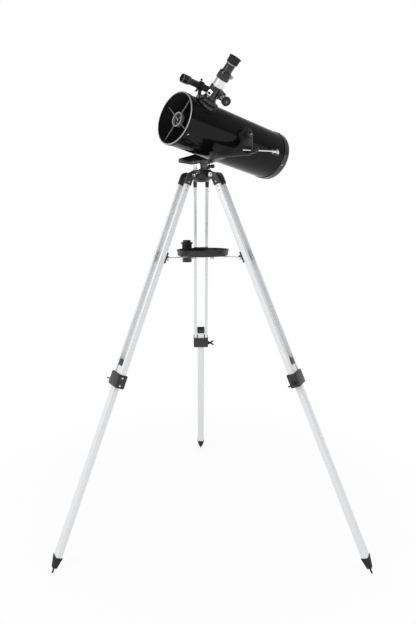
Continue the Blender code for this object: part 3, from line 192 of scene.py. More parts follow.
class Shape:
    """A piece in the making: closed bodies, each with its finish, gathered into one mesh."""

    def __init__(self):
        self.gathered = bmesh.new()
        self.looks = []

    def look_index(self, look):
        if look not in self.looks:
            self.looks.append(look)
        return self.looks.index(look)

    def add(self, body, place, look, accents=None):
        """Takes over a body built round its own origin. Accents map face numbers to other finishes."""
        plain = self.look_index(look)
        body.faces.ensure_lookup_table()
        for face in body.faces:
            face.smooth = True
            face.material_index = plain
        for number, other in (accents or {}).items():
            body.faces[number].material_index = self.look_index(other)
        bmesh.ops.recalc_face_normals(body, faces=body.faces)
        body.transform(place)
        holder = bpy.data.meshes.new("holder")
        body.to_mesh(holder)
        body.free()
        self.gathered.from_mesh(holder)
        bpy.data.meshes.remove(holder)
        return self

    def lathe(self, profile, place, look, steps=64, accents=None, flutes=(), depth=0.0):
        """Turns a profile of radius and height. It closes on the axis, or on itself into a ring.

        Accents map profile segments to other finishes. Flutes list the profile points that are grooved.
        """
        body = bmesh.new()
        rings = []
        for index, (radius, height) in enumerate(profile):
            if radius < 1e-7:
                rings.append([body.verts.new((0.0, 0.0, height))])
                continue
            ring = []
            for i in range(steps):
                angle = 2 * math.pi * i / steps
                r = radius - (depth if index in flutes and i % 4 in (0, 1) else 0.0)
                ring.append(body.verts.new((r * math.cos(angle), r * math.sin(angle), height)))
            rings.append(ring)
        pairs = list(zip(rings, rings[1:]))
        if len(rings[0]) > 1:
            pairs.append((rings[-1], rings[0]))
        coloured = {}
        for segment, (upper, lower) in enumerate(pairs):
            for i in range(steps):
                j = (i + 1) % steps
                corners = [
                    upper[i % len(upper)], lower[i % len(lower)], lower[j % len(lower)],
                    upper[j % len(upper)]
                ]
                corners = list(dict.fromkeys(corners))
                if len(corners) > 2:
                    if accents and segment in accents:
                        coloured[len(body.faces)] = accents[segment]
                    body.faces.new(corners)
        return self.add(body, place, look, coloured)

    def slab(self, outline, thickness, place, look, edge=0.0, segments=2):
        """A flat outline in XY, given a thickness along Z and rounded edges."""
        body = bmesh.new()
        floor = body.faces.new([body.verts.new((x, y, -thickness / 2)) for x, y in outline])
        raised = bmesh.ops.extrude_face_region(body, geom=[floor])
        moved = [item for item in raised["geom"] if isinstance(item, bmesh.types.BMVert)]
        bmesh.ops.translate(body, verts=moved, vec=(0.0, 0.0, thickness))
        bmesh.ops.recalc_face_normals(body, faces=body.faces)
        self.round_edges(body, edge, segments)
        return self.add(body, place, look)

    def block(self, low, high, place, look, edge=0.0, segments=2, taper=None):
        """A box between two corners, with rounded edges. A taper scales the lower end in X and Y."""
        body = bmesh.new()
        bmesh.ops.create_cube(body, size=1.0)
        for vertex in body.verts:
            for i in range(3):
                vertex.co[i] = (low[i] + high[i]) / 2 + vertex.co[i] * (high[i] - low[i])
        if taper:
            for vertex in body.verts:
                if vertex.co.z < (low[2] + high[2]) / 2:
                    vertex.co.x *= taper[0]
                    vertex.co.y *= taper[1]
        self.round_edges(body, edge, segments)
        return self.add(body, place, look)

    @staticmethod
    def round_edges(body, edge, segments):
        if not edge:
            return
        sharp = [e for e in body.edges if e.is_manifold and e.calc_face_angle(0.0) > math.radians(35)]
        bmesh.ops.bevel(
            body, geom=sharp, offset=edge, segments=segments, profile=0.5, affect="EDGES",
            clamp_overlap=True
        )

    def object(self, name):
        mesh = bpy.data.meshes.new(name)
        self.gathered.to_mesh(mesh)
        self.gathered.free()
        for look in self.looks:
            mesh.materials.append(LOOKS[look] if look else None)
        made = bpy.data.objects.new(name, mesh)
        bpy.context.scene.collection.objects.link(made)
        return made


def carve(piece, operation, *tools):
    """Cuts, or intersects, a piece with shapes that are then thrown away."""
    for tool in tools:
        cutter = tool.object("cutter")
        step = piece.modifiers.new("carve", "BOOLEAN")
        step.operation = operation
        step.solver = "EXACT"
        step.material_mode = "TRANSFER"
        step.object = cutter
        shaped = bpy.data.meshes.new_from_object(piece.evaluated_get(bpy.context.evaluated_depsgraph_get()))
        piece.modifiers.clear()
        old = piece.data
        piece.data = shaped
        shaped.name = old.name
        bpy.data.meshes.remove(old)
        bpy.data.objects.remove(cutter, do_unlink=True)
    return piece


def fit(piece, body, hides=(), angle=32):
    """Hands a finished piece over: its shading, its body, and the frame's pieces it stands for."""
    piece.data.set_sharp_from_angle(angle=math.radians(angle))
    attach(piece, body)
    if hides:
        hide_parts(*hides)
    return piece


def stand_in(shape, solid, body):
    """Hands over a shape that takes the place of one of the frame's pieces."""
    return fit(shape.object(f"{solid}_piece"), body, (solid,))


def drill(radius, high, low, place, steps=24, look="inside"):
    """A plain round tool that cuts a hole."""
    return Shape().lathe([(0.0, high), (radius, high), (radius, low), (0.0, low)], place, look, steps)


# Finishes


def feed(tree, made, values):
    """Sets a node's sockets: another node's output is linked, anything else is a constant."""
    for name, value in values.items():
        if isinstance(value, bpy.types.NodeSocket):
            tree.links.new(value, made.inputs[name])
        else:
            made.inputs[name].default_value = value
    return made


def node(tree, kind, values, **settings):
    """Adds a shader node with its settings and sockets."""
    made = tree.nodes.new(f"ShaderNode{kind}")
    for name, value in settings.items():
        setattr(made, name, value)
    return feed(tree, made, values)


def maths(tree, operation, first, second):
    return node(tree, "Math", {0: first, 1: second}, operation=operation).outputs["Value"]


def remap(tree, value, low, high, start, end, kind="SMOOTHSTEP"):
    """Takes a value from one range to another."""
    values = {"Value": value, "From Min": low, "From Max": high, "To Min": start, "To Max": end}
    return node(tree, "MapRange", values, interpolation_type=kind).outputs["Result"]


def finish(
    name, colour, rough, metal=0.0, coat=0.0, mottle=0.15, grain=900.0, bump=0.02, stretch=(1, 1, 1),
    spread=0.06, shine=0.5
):
    """A procedural finish: mottled colour, uneven roughness and a fine relief, all from noise."""
    look = bpy.data.materials.new(name)
    look.use_nodes = True
    tree = look.node_tree
    where = node(tree, "TexCoord", {}).outputs["Object"]
    scaled = node(tree, "Mapping", {"Vector": where, "Scale": stretch}).outputs["Vector"]
    cloud = node(tree, "TexNoise", {"Vector": scaled, "Scale": 28.0, "Detail": 5.0}).outputs["Fac"]
    fine = node(tree, "TexNoise", {"Vector": scaled, "Scale": grain, "Detail": 3.0}).outputs["Fac"]
    tint = node(tree, "ValToRGB", {"Fac": cloud})
    for end, position, share in ((0, 0.3, 1 - mottle), (1, 0.7, 1 + mottle)):
        tint.color_ramp.elements[end].position = position
        tint.color_ramp.elements[end].color = (*(min(c * share, 1.0) for c in colour), 1.0)
    relief = node(tree, "Bump", {"Strength": bump, "Distance": 0.001, "Height": fine})
    values = {
        "Base Color": tint.outputs["Color"],
        "Metallic": metal,
        "Roughness": remap(tree, fine, 0.3, 0.7, max(rough - spread, 0.02), rough + spread, "LINEAR"),
        "Specular IOR Level": shine,
        "Coat Weight": coat,
        "Coat Roughness": 0.06,
        "Normal": relief.outputs["Normal"],
    }
    feed(tree, tree.nodes["Principled BSDF"], values)
    return look


class TelescopeFinishes(bpy.types.PropertyGroup):
    """Colours of the finishes."""

    tube_black: bpy.props.FloatVectorProperty(
        name="Tube Paint", description="Glossy paint of the tube", subtype="COLOR",
        default=(0.006, 0.006, 0.0065)
    )
    casting_black: bpy.props.FloatVectorProperty(
        name="Castings", description="Satin paint of the fork and the hub", subtype="COLOR",
        default=(0.012, 0.012, 0.012)
    )
    plastic_black: bpy.props.FloatVectorProperty(
        name="Plastic", description="Moulded clamps, caps, feet and knobs", subtype="COLOR",
        default=(0.016, 0.016, 0.016)
    )
    aluminium: bpy.props.FloatVectorProperty(
        name="Legs", description="Anodised aluminium of the legs", subtype="COLOR", default=(0.80, 0.81, 0.82)
    )
    silver: bpy.props.FloatVectorProperty(
        name="Silver Paint", description="Paint of the front rim and the spider", subtype="COLOR",
        default=(0.42, 0.42, 0.43)
    )


class TelescopeDetails(bpy.types.PropertyGroup):
    """Sizes of the small pieces that the frame leaves out."""

    facets: bpy.props.IntProperty(
        name="Facets", description="Facets round the main tube", subtype="UNSIGNED", default=128, min=24,
        max=256
    )
    rivet_radius: bpy.props.FloatProperty(
        name="Rivet Radius", description="Rivets and bolt heads on the legs", subtype="DISTANCE",
        default=0.0034, min=0.001
    )
    tube_screw_radius: bpy.props.FloatProperty(
        name="Tube Screw Radius", description="Screw heads on the tube's rings",
        subtype="DISTANCE", default=0.0028, min=0.001
    )
    grip_depth: bpy.props.FloatProperty(
        name="Grip Depth", description="Depth of the grooves round the knobs", subtype="DISTANCE",
        default=0.0006, min=0.0
    )


class TelescopeStage(bpy.types.PropertyGroup):
    """Light and camera."""

    key_power: bpy.props.FloatProperty(
        name="Key Light", description="Soft light from the left", unit="POWER", default=38.0, min=0.0
    )
    fill_power: bpy.props.FloatProperty(
        name="Fill Light", description="Soft light from the right", unit="POWER", default=12.0, min=0.0
    )
    top_power: bpy.props.FloatProperty(
        name="Top Light", description="Soft light from above", unit="POWER", default=16.0, min=0.0
    )
    lens: bpy.props.FloatProperty(
        name="Lens", description="Focal length of the camera", subtype="DISTANCE_CAMERA",
        default=29.76, min=1.0
    )


class TELESCOPE_OT_finishes(bpy.types.Operator):
    """Makes the finishes and puts them on the frame's own pieces"""

    bl_idname = "telescope.finishes"
    bl_label = "Finishes"

    def execute(self, context):
        own = context.scene.telescope_finishes
        LOOKS.update(
            gloss=finish(
                "gloss_black_paint", own.tube_black, 0.12, mottle=0.1, grain=420.0, bump=0.004,
                spread=0.02, shine=0.16
            ),
            casting=finish(
                "satin_black_casting", own.casting_black, 0.36, mottle=0.25, grain=700.0, bump=0.05
            ),
            plastic=finish(
                "moulded_black_plastic", own.plastic_black, 0.42, mottle=0.2, grain=1100.0, bump=0.04
            ),
            polished=finish(
                "polished_black_metal", own.tube_black, 0.16, coat=0.3, mottle=0.2, grain=500.0, bump=0.006
            ),
            inside=finish(
                "matt_black_inside", (0.010, 0.010, 0.011), 0.70, mottle=0.3, grain=600.0, bump=0.05
            ),
            rubber=finish("black_rubber", (0.012, 0.012, 0.012), 0.78, mottle=0.2, grain=1300.0, bump=0.06),
            silver=finish("silver_paint", own.silver, 0.34, metal=0.55, mottle=0.06, grain=1500.0, bump=0.02),
            chrome=finish(
                "chrome_plating", (0.78, 0.78, 0.79), 0.07, metal=1.0, mottle=0.04, grain=300.0,
                bump=0.003, spread=0.03
            ),
            steel=finish(
                "brushed_steel", (0.52, 0.52, 0.53), 0.28, metal=1.0, mottle=0.08, grain=240.0, bump=0.02,
                stretch=(1, 1, 6)
            ),
            brass=finish("brass", (0.62, 0.43, 0.16), 0.25, metal=1.0, mottle=0.12, grain=700.0, bump=0.01),
            mirror=finish(
                "mirror_coating", (0.90, 0.90, 0.91), 0.03, metal=1.0, mottle=0.02, grain=60.0, bump=0.001,
                spread=0.01
            ),
            lens=finish(
                "coated_lens", (0.020, 0.016, 0.045), 0.04, coat=0.8, mottle=0.3, grain=40.0, bump=0.001,
                spread=0.02
            ),
            alloy=finish(
                "anodised_aluminium", own.aluminium, 0.36, metal=0.22, mottle=0.01, grain=60.0,
                bump=0.0005, spread=0.004
            ),
        )
        by_slot = {
            "gloss_black_paint": "gloss",
            "satin_black_casting": "casting",
            "black_plastic": "plastic",
            "black_rubber": "rubber",
            "silver_paint": "silver",
            "chrome": "chrome",
            "brushed_steel": "steel",
            "anodised_aluminium": "alloy",
            "mirror_coating": "mirror",
        }
        for entry in frame["record"]["subparts"]:
            mesh = frame["nodes"][entry["node"]].data
            mesh.materials.clear()
            mesh.materials.append(LOOKS[by_slot[entry["material_slot"]]])
        return {"FINISHED"}


# Main tube and optics


def screw_head(shape, place, radius, look):
    """A domed screw head that stands on a surface."""
    dome = ((0.0, 0.5), (0.5, 0.44), (0.85, 0.24), (1.0, 0.0), (1.0, -0.3), (0.0, -0.3))
    shape.lathe([(wide * radius, high * radius) for wide, high in dome], place, look, 20)


def round_the_tube(x, angle, radius):
    """A place round the tube's axis, facing out. The angle runs from the top to the near side."""
    return tube_place() @ turn(angle, "X") @ at(x, 0.0, radius)


def long_rod(radius, place, reach=0.4):
    return Shape().lathe([(0.0, reach), (radius, reach), (radius, -reach), (0.0, -reach)], place, None, 180)


class TELESCOPE_OT_tube(bpy.types.Operator):
    """Main tube with its trunnion pads, front ring, rear cell and screws"""

    bl_idname = "telescope.tube"
    bl_label = "Main Tube"

    def execute(self, context):
        facets = context.scene.telescope_details.facets
        head = context.scene.telescope_details.tube_screw_radius
        place = tube_place()
        lying = place @ ALONG_X
        front = TUBE_FRONT + 0.0033
        rear = TUBE_REAR - CELL_LENGTH
        shell = Shape()
        profile = [(TUBE_RADIUS, rear), (TUBE_RADIUS, front), (TUBE_INNER, front), (TUBE_INNER, rear)]
        shell.lathe(profile, lying, "gloss", facets, accents={2: "inside"})
        opening = drill(0.024, 0.12, 0.05, focuser_place(), 64)
        shell = carve(shell.object("tube_shell"), "DIFFERENCE", opening)
        fit(shell, "tube_body", ("tube",))

        pads = Shape()
        high = ARM_INNER - GAP
        for side in (TO_NEAR, TO_FAR):
            profile = mm([(0, 0), (20.5, 0), (21.5, -0.4), (22, -1.5)], high) + mm([(22, 78), (0, 78)])
            pads.lathe(profile, place @ side, "casting", 72)
        pads = carve(pads.object("trunnion_pads"), "DIFFERENCE", long_rod(TUBE_INNER + 0.0008, lying))
        fit(pads, "tube_body")

        ring = Shape()
        back = TUBE_FRONT + 0.014
        seat = TUBE_RADIUS + GAP
        profile = [
            (RING_RADIUS - 0.0006, back), (RING_RADIUS, back - 0.0006), (RING_RADIUS, TUBE_FRONT + 0.0022),
            (RING_RADIUS - 0.0004, TUBE_FRONT + 0.001), (RING_RADIUS - 0.0012, TUBE_FRONT + 0.0002),
            (RING_RADIUS - 0.002, TUBE_FRONT)
        ]
        profile += mm([(84.8, 0), (83.5, 0), (82.6, 0.3), (82.1, 1)], TUBE_FRONT)
        profile += [(0.082, TUBE_FRONT + 0.003), (seat, TUBE_FRONT + 0.003), (seat, back)]
        rim = {segment: "silver" for segment in range(3, 6)}
        ring.lathe(profile, lying, "gloss", facets, accents=rim)
        stand_in(ring, "front_ring", "tube_body")

        cell = Shape()
        start = rear + GAP
        plug = TUBE_INNER - 0.0004
        profile = [
            (0.0, 0.222), (0.068, 0.222), (0.0705, 0.2226), (0.0722, 0.2242), (0.0745, 0.2278),
            (0.0765, TUBE_REAR), (0.083, TUBE_REAR), (0.0858, 0.2281), (0.0877, 0.2262), (0.0887, 0.2237),
            (RING_RADIUS, 0.2205), (RING_RADIUS, start + 0.0006), (RING_RADIUS - 0.0006, start),
            (plug, start), (plug, start - 0.011), (plug - 0.003, start - 0.011), (plug - 0.003, 0.2165),
            (0.0485, 0.2165), (0.0485, 0.2053), (0.0425, 0.2053), (0.0425, 0.2165), (0.0, 0.2165)
        ]
        cell.lathe(profile, lying, "polished", facets)
        for i in range(3):
            for offset, radius, look in ((0, 0.0048, "chrome"), (16, 0.0034, "brass")):
                spot = place @ turn(120 * i + offset + 30, "X") @ at(0.222, 0.0, 0.052) @ ALONG_X
                profile = [
                    (0.0, 0.0045), (radius - 0.0012, 0.0045), (radius, 0.0035), (radius, -0.001),
                    (0.0, -0.001)
                ]
                cell.lathe(profile, spot, look, 32, flutes=(2, 3), depth=0.0004)
        stand_in(cell, "rear_cell", "tube_body")

        screws = Shape()
        for angle in (42, 132, 222, 312):
            screw_head(screws, round_the_tube(-0.2105, angle, TUBE_RADIUS), head, "chrome")
        for angle in (30, 120, 210, 300):
            screw_head(screws, round_the_tube(0.210, angle, RING_RADIUS), head, "chrome")
        fit(screws.object("tube_screws"), "tube_body")
        return {"FINISHED"}


class TELESCOPE_OT_optics(bpy.types.Operator):
    """Four-vane spider, its hub with adjusting screws, and the primary mirror"""

    bl_idname = "telescope.optics"
    bl_label = "Spider And Mirrors"

    def execute(self, context):
        place = tube_place()
        lying = place @ ALONG_X
        front = TUBE_FRONT + 0.011
        rear = front + 0.012
        spider = Shape()
        profile = mm([(0, 0), (23.7, 0), (24.5, -0.8)], rear) + mm([(24.5, 0.8), (23.8, 0)], front)
        profile += mm([(21.3, 0), (20.5, 0.8)], front) + mm([(20.5, -3), (0, -3)], rear)
        spider.lathe(profile, lying, "silver", 72, accents={7: "inside"})
        for angle in (40, 130, 220, 310):
            low = (front + 0.0035, -0.0007, 0.0235)
            high = (front + 0.0070, 0.0007, TUBE_INNER - 0.0006)
            spider.block(low, high, place @ turn(angle, "X"), "silver", 0.0002, 1)
        for i in range(3):
            screw = place @ turn(120 * i + 70, "X") @ at(rear - 0.003, 0.0, 0.012) @ ALONG_X @ turn(180, "X")
            profile = mm([(0, 5), (1.6, 5), (2.4, 4.2), (2.4, -1), (0, -1)])
            spider.lathe(profile, screw, "steel", 20)
        middle = place @ at(rear - 0.003, 0.0, 0.0) @ ALONG_X @ turn(180, "X")
        spider.lathe(mm([(0, 6), (3, 6), (4, 5), (4, -1), (0, -1)]), middle, "steel", 6)
        stand_in(spider, "spider", "tube_body")

        mirror = Shape()
        profile = mm([(0, 205), (64.4, 205), (65, 204.4), (65, 187.6), (64.4, 187)])
        profile += [(0.0644 * (1 - i / 8), 0.187 + 0.002 * (1 - (1 - i / 8) ** 2)) for i in range(1, 9)]
        glass = {segment: "lens" for segment in range(4)}
        mirror.lathe(profile, lying, "mirror", 96, accents=glass)
        for i in range(3):
            clip = place @ turn(120 * i, "X")
            mirror.block((0.184, -0.005, 0.0575), (0.1866, 0.005, 0.070), clip, "plastic", 0.0006)
            mirror.block((0.184, -0.005, 0.0665), (0.2160, 0.005, 0.070), clip, "plastic", 0.0006)
        stand_in(mirror, "primary_mirror", "tube_body")
        return {"FINISHED"}


# Focuser


def rack_outline():
    """Side view of the rack: the distance from the drawtube's axis, and the height over the tube."""
    pitch = math.pi * 0.001
    start = PINION_HEIGHT - 8 * pitch
    points = [(0.0174, start), (0.0209, start)]
    for i in range(18):
        middle = start + (i + 0.5) * pitch
        points += [(0.0209, middle - 0.33 * pitch), (0.02275, middle - 0.14 * pitch)]
        points += [(0.02275, middle + 0.14 * pitch), (0.0209, middle + 0.33 * pitch)]
    return points + [(0.0209, start + 18 * pitch), (0.0174, start + 18 * pitch)]


def rack_channel(place):
    """A tool that cuts the rack's way along the drawtube."""
    return Shape().block((0.0, -0.0034, 0.0), (0.0236, 0.0034, 0.3), place, "inside")


class TELESCOPE_OT_focuser(bpy.types.Operator):
    """Rack-and-pinion focuser: saddle, housing, pinion block, drawtube with its rack, and knobs"""

    bl_idname = "telescope.focuser"
    bl_label = "Focuser"

    def execute(self, context):
        place = focuser_place()
        lying = place @ ALONG_X
        base = TUBE_RADIUS
        axle = place @ at(PINION_BEHIND, 0.0, base + PINION_HEIGHT)
        grip = context.scene.telescope_details.grip_depth

        saddle = Shape()
        saddle.lathe(mm([(37.5, 120), (37.5, 50), (24.6, 50), (24.6, 120)]), place, "polished", 96)
        saddle = carve(saddle.object("focuser_saddle"), "INTERSECT", long_rod(base + 0.0088, lying))
        saddle = carve(saddle, "DIFFERENCE", long_rod(base + GAP, lying))
        fit(saddle, "tube_body")

        top = base + 0.062
        housing = Shape()
        profile = mm([(19.8, 0), (20.6, -0.4), (21, -1.4), (21, -5), (20.4, -5.6)], top)
        profile += mm([(20.4, -8), (21, -8.6)], top) + mm([(21, 23), (22.6, 18.5), (24.5, 16)], base)
        profile += mm([(24.5, 1), (18.6, 1)], base) + mm([(18.6, 0)], top)
        housing.lathe(profile, place, "polished", 96)
        housing = carve(housing.object("focuser_barrel"), "DIFFERENCE", rack_channel(place))
        fit(housing, "tube_body", ("focuser_housing",))

        block = Shape()
        middle = base + PINION_HEIGHT
        low = (0.0105, -0.0148, middle - 0.0128)
        block.block(low, (0.0388, 0.0148, middle + 0.0128), place, "plastic", 0.0022, 3)
        bore = drill(0.0186, 0.3, 0.0, place, 96)
        room = drill(0.008, 0.0043, -0.0043, axle @ TO_NEAR, 48)
        shaft = drill(0.0034, 0.05, -0.05, axle @ TO_NEAR, 32)
        tools = (bore, rack_channel(place), room, shaft)
        block = carve(block.object("pinion_block_piece"), "DIFFERENCE", *tools)
        fit(block, "tube_body")

        trim = Shape()
        for side in (TO_NEAR, TO_FAR):
            profile = mm([(6.6, 16.4), (7.2, 15.8), (7.2, 14.6), (3.6, 14.6), (3.6, 16.4)])
            trim.lathe(profile, axle @ side, "steel", 40)
            for x, z in ((-0.008, -0.009), (-0.008, 0.009), (0.0075, -0.009), (0.0075, 0.009)):
                screw_head(trim, axle @ at(x, 0.0, z) @ side @ at(z=0.0148), 0.0021, "brass")
        lock = place @ at(z=base + 0.036) @ turn(-62, "Z") @ TO_NEAR
        trim.slab(rounded(0.016, 0.018, 0.003), 0.0034, lock @ at(z=0.0213), "chrome", 0.0006)
        profile = mm([(0, 28.5), (3.6, 28.5), (4.6, 27.5), (4.6, 23.5), (3, 22.8), (3, 22.5), (0, 22.5)])
        trim.lathe(profile, lock, "plastic", 48, flutes=(2, 3), depth=0.0004)
        fit(trim.object("focuser_trim"), "tube_body")

        tube = Shape()
        low = base + 0.012
        high = base + 0.096
        profile = mm([(17.8, 0), (18, -0.2)], high)
        profile += mm([(18, 0.4), (17.6, 0), (16.8, 0), (16.6, 0.4)], low) + mm([(16.6, 0)], high)
        tube.lathe(profile, place, "chrome", 96, accents={5: "inside"})
        tube.slab(rack_outline(), 0.006, place @ at(z=base) @ TO_NEAR, "steel")
        stand_in(tube, "drawtube", "drawtube_body")

        for side, direction in (("near", TO_NEAR), ("far", TO_FAR)):
            knob = Shape()
            out = axle @ direction
            profile = mm([(0, 48.9), (9.2, 48.9), (9.8, 49.2), (10.4, 49.9), (13.2, 49.9)])
            profile += mm([(14.4, 49.4), (15, 48.4), (15, 39.4), (14.4, 38.4), (13.4, 38)])
            profile += mm([(3.3, 38), (3.3, 44.3), (0, 44.3)])
            knob.lathe(profile, out, "rubber", 128, accents={0: "plastic"}, flutes=(6, 7), depth=grip)
            profile = mm([(0, 49.5), (1.4, 49.5), (1.9, 49.2), (1.9, 48), (0, 48)])
            knob.lathe(profile, out, "brass", 32)
            stand_in(knob, f"focus_knob_{side}", "focus_drive_body")
        return {"FINISHED"}


class TELESCOPE_OT_eyepieces(bpy.types.Operator):
    """Eyepiece holder with its lock screw, the eyepiece in use and the spare one in the tray"""

    bl_idname = "telescope.eyepieces"
    bl_label = "Eyepieces"

    def execute(self, context):
        place = focuser_place()
        base = TUBE_RADIUS
        low = base + 0.088
        high = base + 0.113
        grip = context.scene.telescope_details.grip_depth

        holder = Shape()
        profile = mm([(19.8, 0), (21, -0.4), (21.5, -1.4), (21.5, -5.2), (20.8, -6)], high)
        profile += mm([(20.8, -8.5), (21.5, -9.3)], high) + mm([(21.5, 1.6), (21, 0.5), (19.9, 0)], low)
        profile += [(0.0183, low), (0.0183, base + 0.0963), (0.01615, base + 0.0963), (0.01615, high)]
        holder.lathe(profile, place, "polished", 96)
        screw_axis = place @ at(z=base + 0.10465) @ ALONG_X
        hole = drill(0.0024, 0.03, 0.012, screw_axis, 24)
        holder = carve(holder.object("eyepiece_holder_piece"), "DIFFERENCE", hole)
        fit(holder, "drawtube_body", ("eyepiece_holder",))

        screw = Shape()
        profile = mm([(0, 33.2), (4.4, 33.2), (5.3, 32.5), (5.5, 31.5), (5.5, 26.2), (4.8, 25.2)])
        profile += mm([(3.5, 24.6), (3.5, 22.2), (2, 22.2), (2, 16.45), (0, 16.45)])
        screw.lathe(profile, screw_axis, "chrome", 64, flutes=(3, 4), depth=0.0005)
        stand_in(screw, "eyepiece_screw", "eyepiece_screw_body")

        top = base + 0.158
        body = base + 0.144
        seat = high + GAP
        eyepiece = Shape()
        profile = mm([(0, -3.2), (5, -3.6), (9, -4.2), (10.5, -0.4), (11.2, 0), (14.5, 0)], top)
        profile += mm([(14.5, 0), (15.2, 0), (15.5, -0.4), (15.5, -2.6), (15.5, -8), (15, -8.6)], body)
        profile += mm([(15, -9.8), (15.5, -10.4)], body) + mm([(15.5, 4.6), (16.6, 3.4), (17.5, 3)], seat)
        profile += mm([(17.5, 0.4), (17.1, 0), (15.85, 0), (15.85, -28.8), (13.3, -28.8)], seat)
        profile += mm([(13.3, -9), (0, -9)], seat)
        shine = {0: "lens", 1: "lens", 6: "silver", 7: "silver", 8: "silver", 9: "plastic"}
        shine.update({18: "chrome", 19: "chrome", 20: "inside", 21: "lens"})
        eyepiece.lathe(profile, place, "polished", 96, accents=shine)
        stand_in(eyepiece, "eyepiece", "drawtube_body")

        cup = Shape()
        seat = body + GAP
        end = base + 0.1666
        profile = mm([(18.5, 0), (19.9, -0.3), (20.5, -1.2), (20.5, -2.8), (19.9, -4.2)], end)
        for i in range(5):
            z = end - 0.006 - 0.0028 * i
            profile += mm([(19, 0), (18.4, -0.5), (18.4, -1.2), (19, -1.7)], z)
        profile += mm([(19, 1.5), (18.4, 0.4), (17.6, 0), (14.8, 0)], seat)
        profile += mm([(14.8, 0.4)], top) + mm([(17.2, -0.4)], end)
        cup.lathe(profile, place, "rubber", 96)
        stand_in(cup, "eyecup", "drawtube_body")

        spare = Shape()
        spot = spoke_place(TRAY_HOLES[0]) @ at(TRAY_HOLE_CIRCLE, 0.0, TRAY_BOTTOM + 0.0028)
        profile = mm([(0, 43.4), (5, 43.2), (8, 42.5), (9.8, 46.6), (10.5, 47), (12.6, 47), (13.2, 46.4)])
        profile += mm([(14, 40), (19.5, 39.8), (20.5, 38.8), (20.5, 36.4), (19.8, 35.4), (17, 34)])
        profile += mm([(17, 30.5), (16.5, 30), (16.5, 13.5), (17, 13), (17, 0)])
        profile += mm([(15.85, 0), (15.85, -26.6), (15.5, -27), (13.5, -27), (13.5, -12), (0, -12)])
        shine = {0: "lens", 1: "lens", 14: "rubber", 18: "polished", 19: "polished"}
        shine.update({20: "polished", 21: "inside", 22: "lens"})
        spare.lathe(profile, spot, "plastic", 80, accents=shine, flutes=(14, 15), depth=grip)
        stand_in(spare, "spare_eyepiece", "tripod_body")
        return {"FINISHED"}


# Finder


class TELESCOPE_OT_finder(bpy.types.Operator):
    """Finder telescope in its ring bracket, with adjusting screws and a foot on the main tube"""

    bl_idname = "telescope.finder"
    bl_label = "Finder"

    def execute(self, context):
        place = tube_place()
        axis = place @ at(z=FINDER_HEIGHT) @ ALONG_X
        front = TUBE_FRONT + 0.005
        rear = front + 0.150
        cell = front + 0.026
        finder = Shape()
        profile = mm([(0, -3.2), (4, -3.6), (6, -4.2), (6.8, -0.6), (7.4, 0)], rear)
        profile += mm([(8.8, 0), (9.5, -0.8), (10.4, -12), (11.9, -12.6), (12.5, -13.4)], rear)
        for i in range(6):
            x = rear - 0.015 - 0.0022 * i
            profile += mm([(12.5, 0), (12.1, -0.4), (12.1, -1), (12.5, -1.4)], x)
        profile += mm([(12.5, -29.6), (11, -32)], rear) + mm([(11, 7.5), (11.4, 6.5), (14.2, 0.6)], cell)
        profile += mm([(14.5, -0.4), (14.5, -6), (14, -6.6), (14, -8.6), (14.5, -9.2)], cell)
        profile += mm([(14.5, 5), (14.5, 0.8), (13.7, 0), (12.6, 0), (12.2, 1.2)], front)
        profile += mm([(12, 7.5), (6, 5.8), (0, 5.2)], front)
        last = len(profile) - 2
        shine = {0: "lens", 1: "lens", last: "lens", last - 1: "lens", last - 2: "inside"}
        shine.update({last - 4: "silver", last - 10: "silver"})
        finder.lathe(profile, axis, "plastic", 80, accents=shine)
        stand_in(finder, "finder_tube", "tube_body")

        middle = TUBE_FRONT + 0.084
        spot = place @ at(middle, 0.0, FINDER_HEIGHT)
        bracket = Shape()
        profile = mm([(15.7, 6), (16.5, 5.2), (16.5, -5.2), (15.7, -6), (14.1, -6), (13.5, -5.4)])
        bracket.lathe(profile + mm([(13.5, 5.4), (14.1, 6)]), spot @ ALONG_X, "plastic", 72)
        bracket.block(
            (middle - 0.004, -0.005, TUBE_RADIUS + 0.003), (middle + 0.004, 0.005, FINDER_HEIGHT - 0.0152),
            place, "plastic", 0.0008
        )
        web = mm([(-16, 3), (16, 3)], TUBE_RADIUS) + mm([(5, 108), (-5, 108)])
        bracket.slab(web, 0.004, place @ at(middle, 0.0, 0.0) @ TO_NEAR, "plastic", 0.0006)
        for angle in (0, 120, 240):
            pin = spot @ turn(angle, "X")
            profile = mm([(0, 25.5), (3.2, 25.5), (4, 24.8), (4, 20.8), (2.2, 19.8)])
            profile += mm([(2.2, 11.4), (1.6, 11.3), (0, 11.3)])
            shine = {4: "chrome", 5: "chrome"}
            bracket.lathe(profile, pin, "plastic", 40, accents=shine, flutes=(2, 3), depth=0.0004)
        fit(bracket.object("finder_ring_piece"), "tube_body", ("finder_bracket",))

        foot = Shape()
        foot.block(
            (middle - 0.0198, -0.0088, 0.081), (middle + 0.0198, 0.0088, TUBE_RADIUS + 0.004), place,
            "plastic", 0.0014
        )
        bed = long_rod(TUBE_RADIUS + GAP, place @ ALONG_X)
        foot = carve(foot.object("finder_foot_piece"), "DIFFERENCE", bed)
        fit(foot, "tube_body")
        thumb = Shape()
        axle = place @ at(middle - 0.006, 0.0, 0.1005) @ turn(18, "Z") @ TO_NEAR
        profile = mm([(0, 18.5), (4, 18.5), (5.2, 17.5), (5.2, 12.5), (3, 11.5), (3, 1), (0, 1)])
        thumb.lathe(profile, axle, "plastic", 48, accents={4: "steel"}, flutes=(2, 3), depth=0.0005)
        fit(thumb.object("finder_thumb_screw"), "tube_body")
        return {"FINISHED"}


# Fork mount


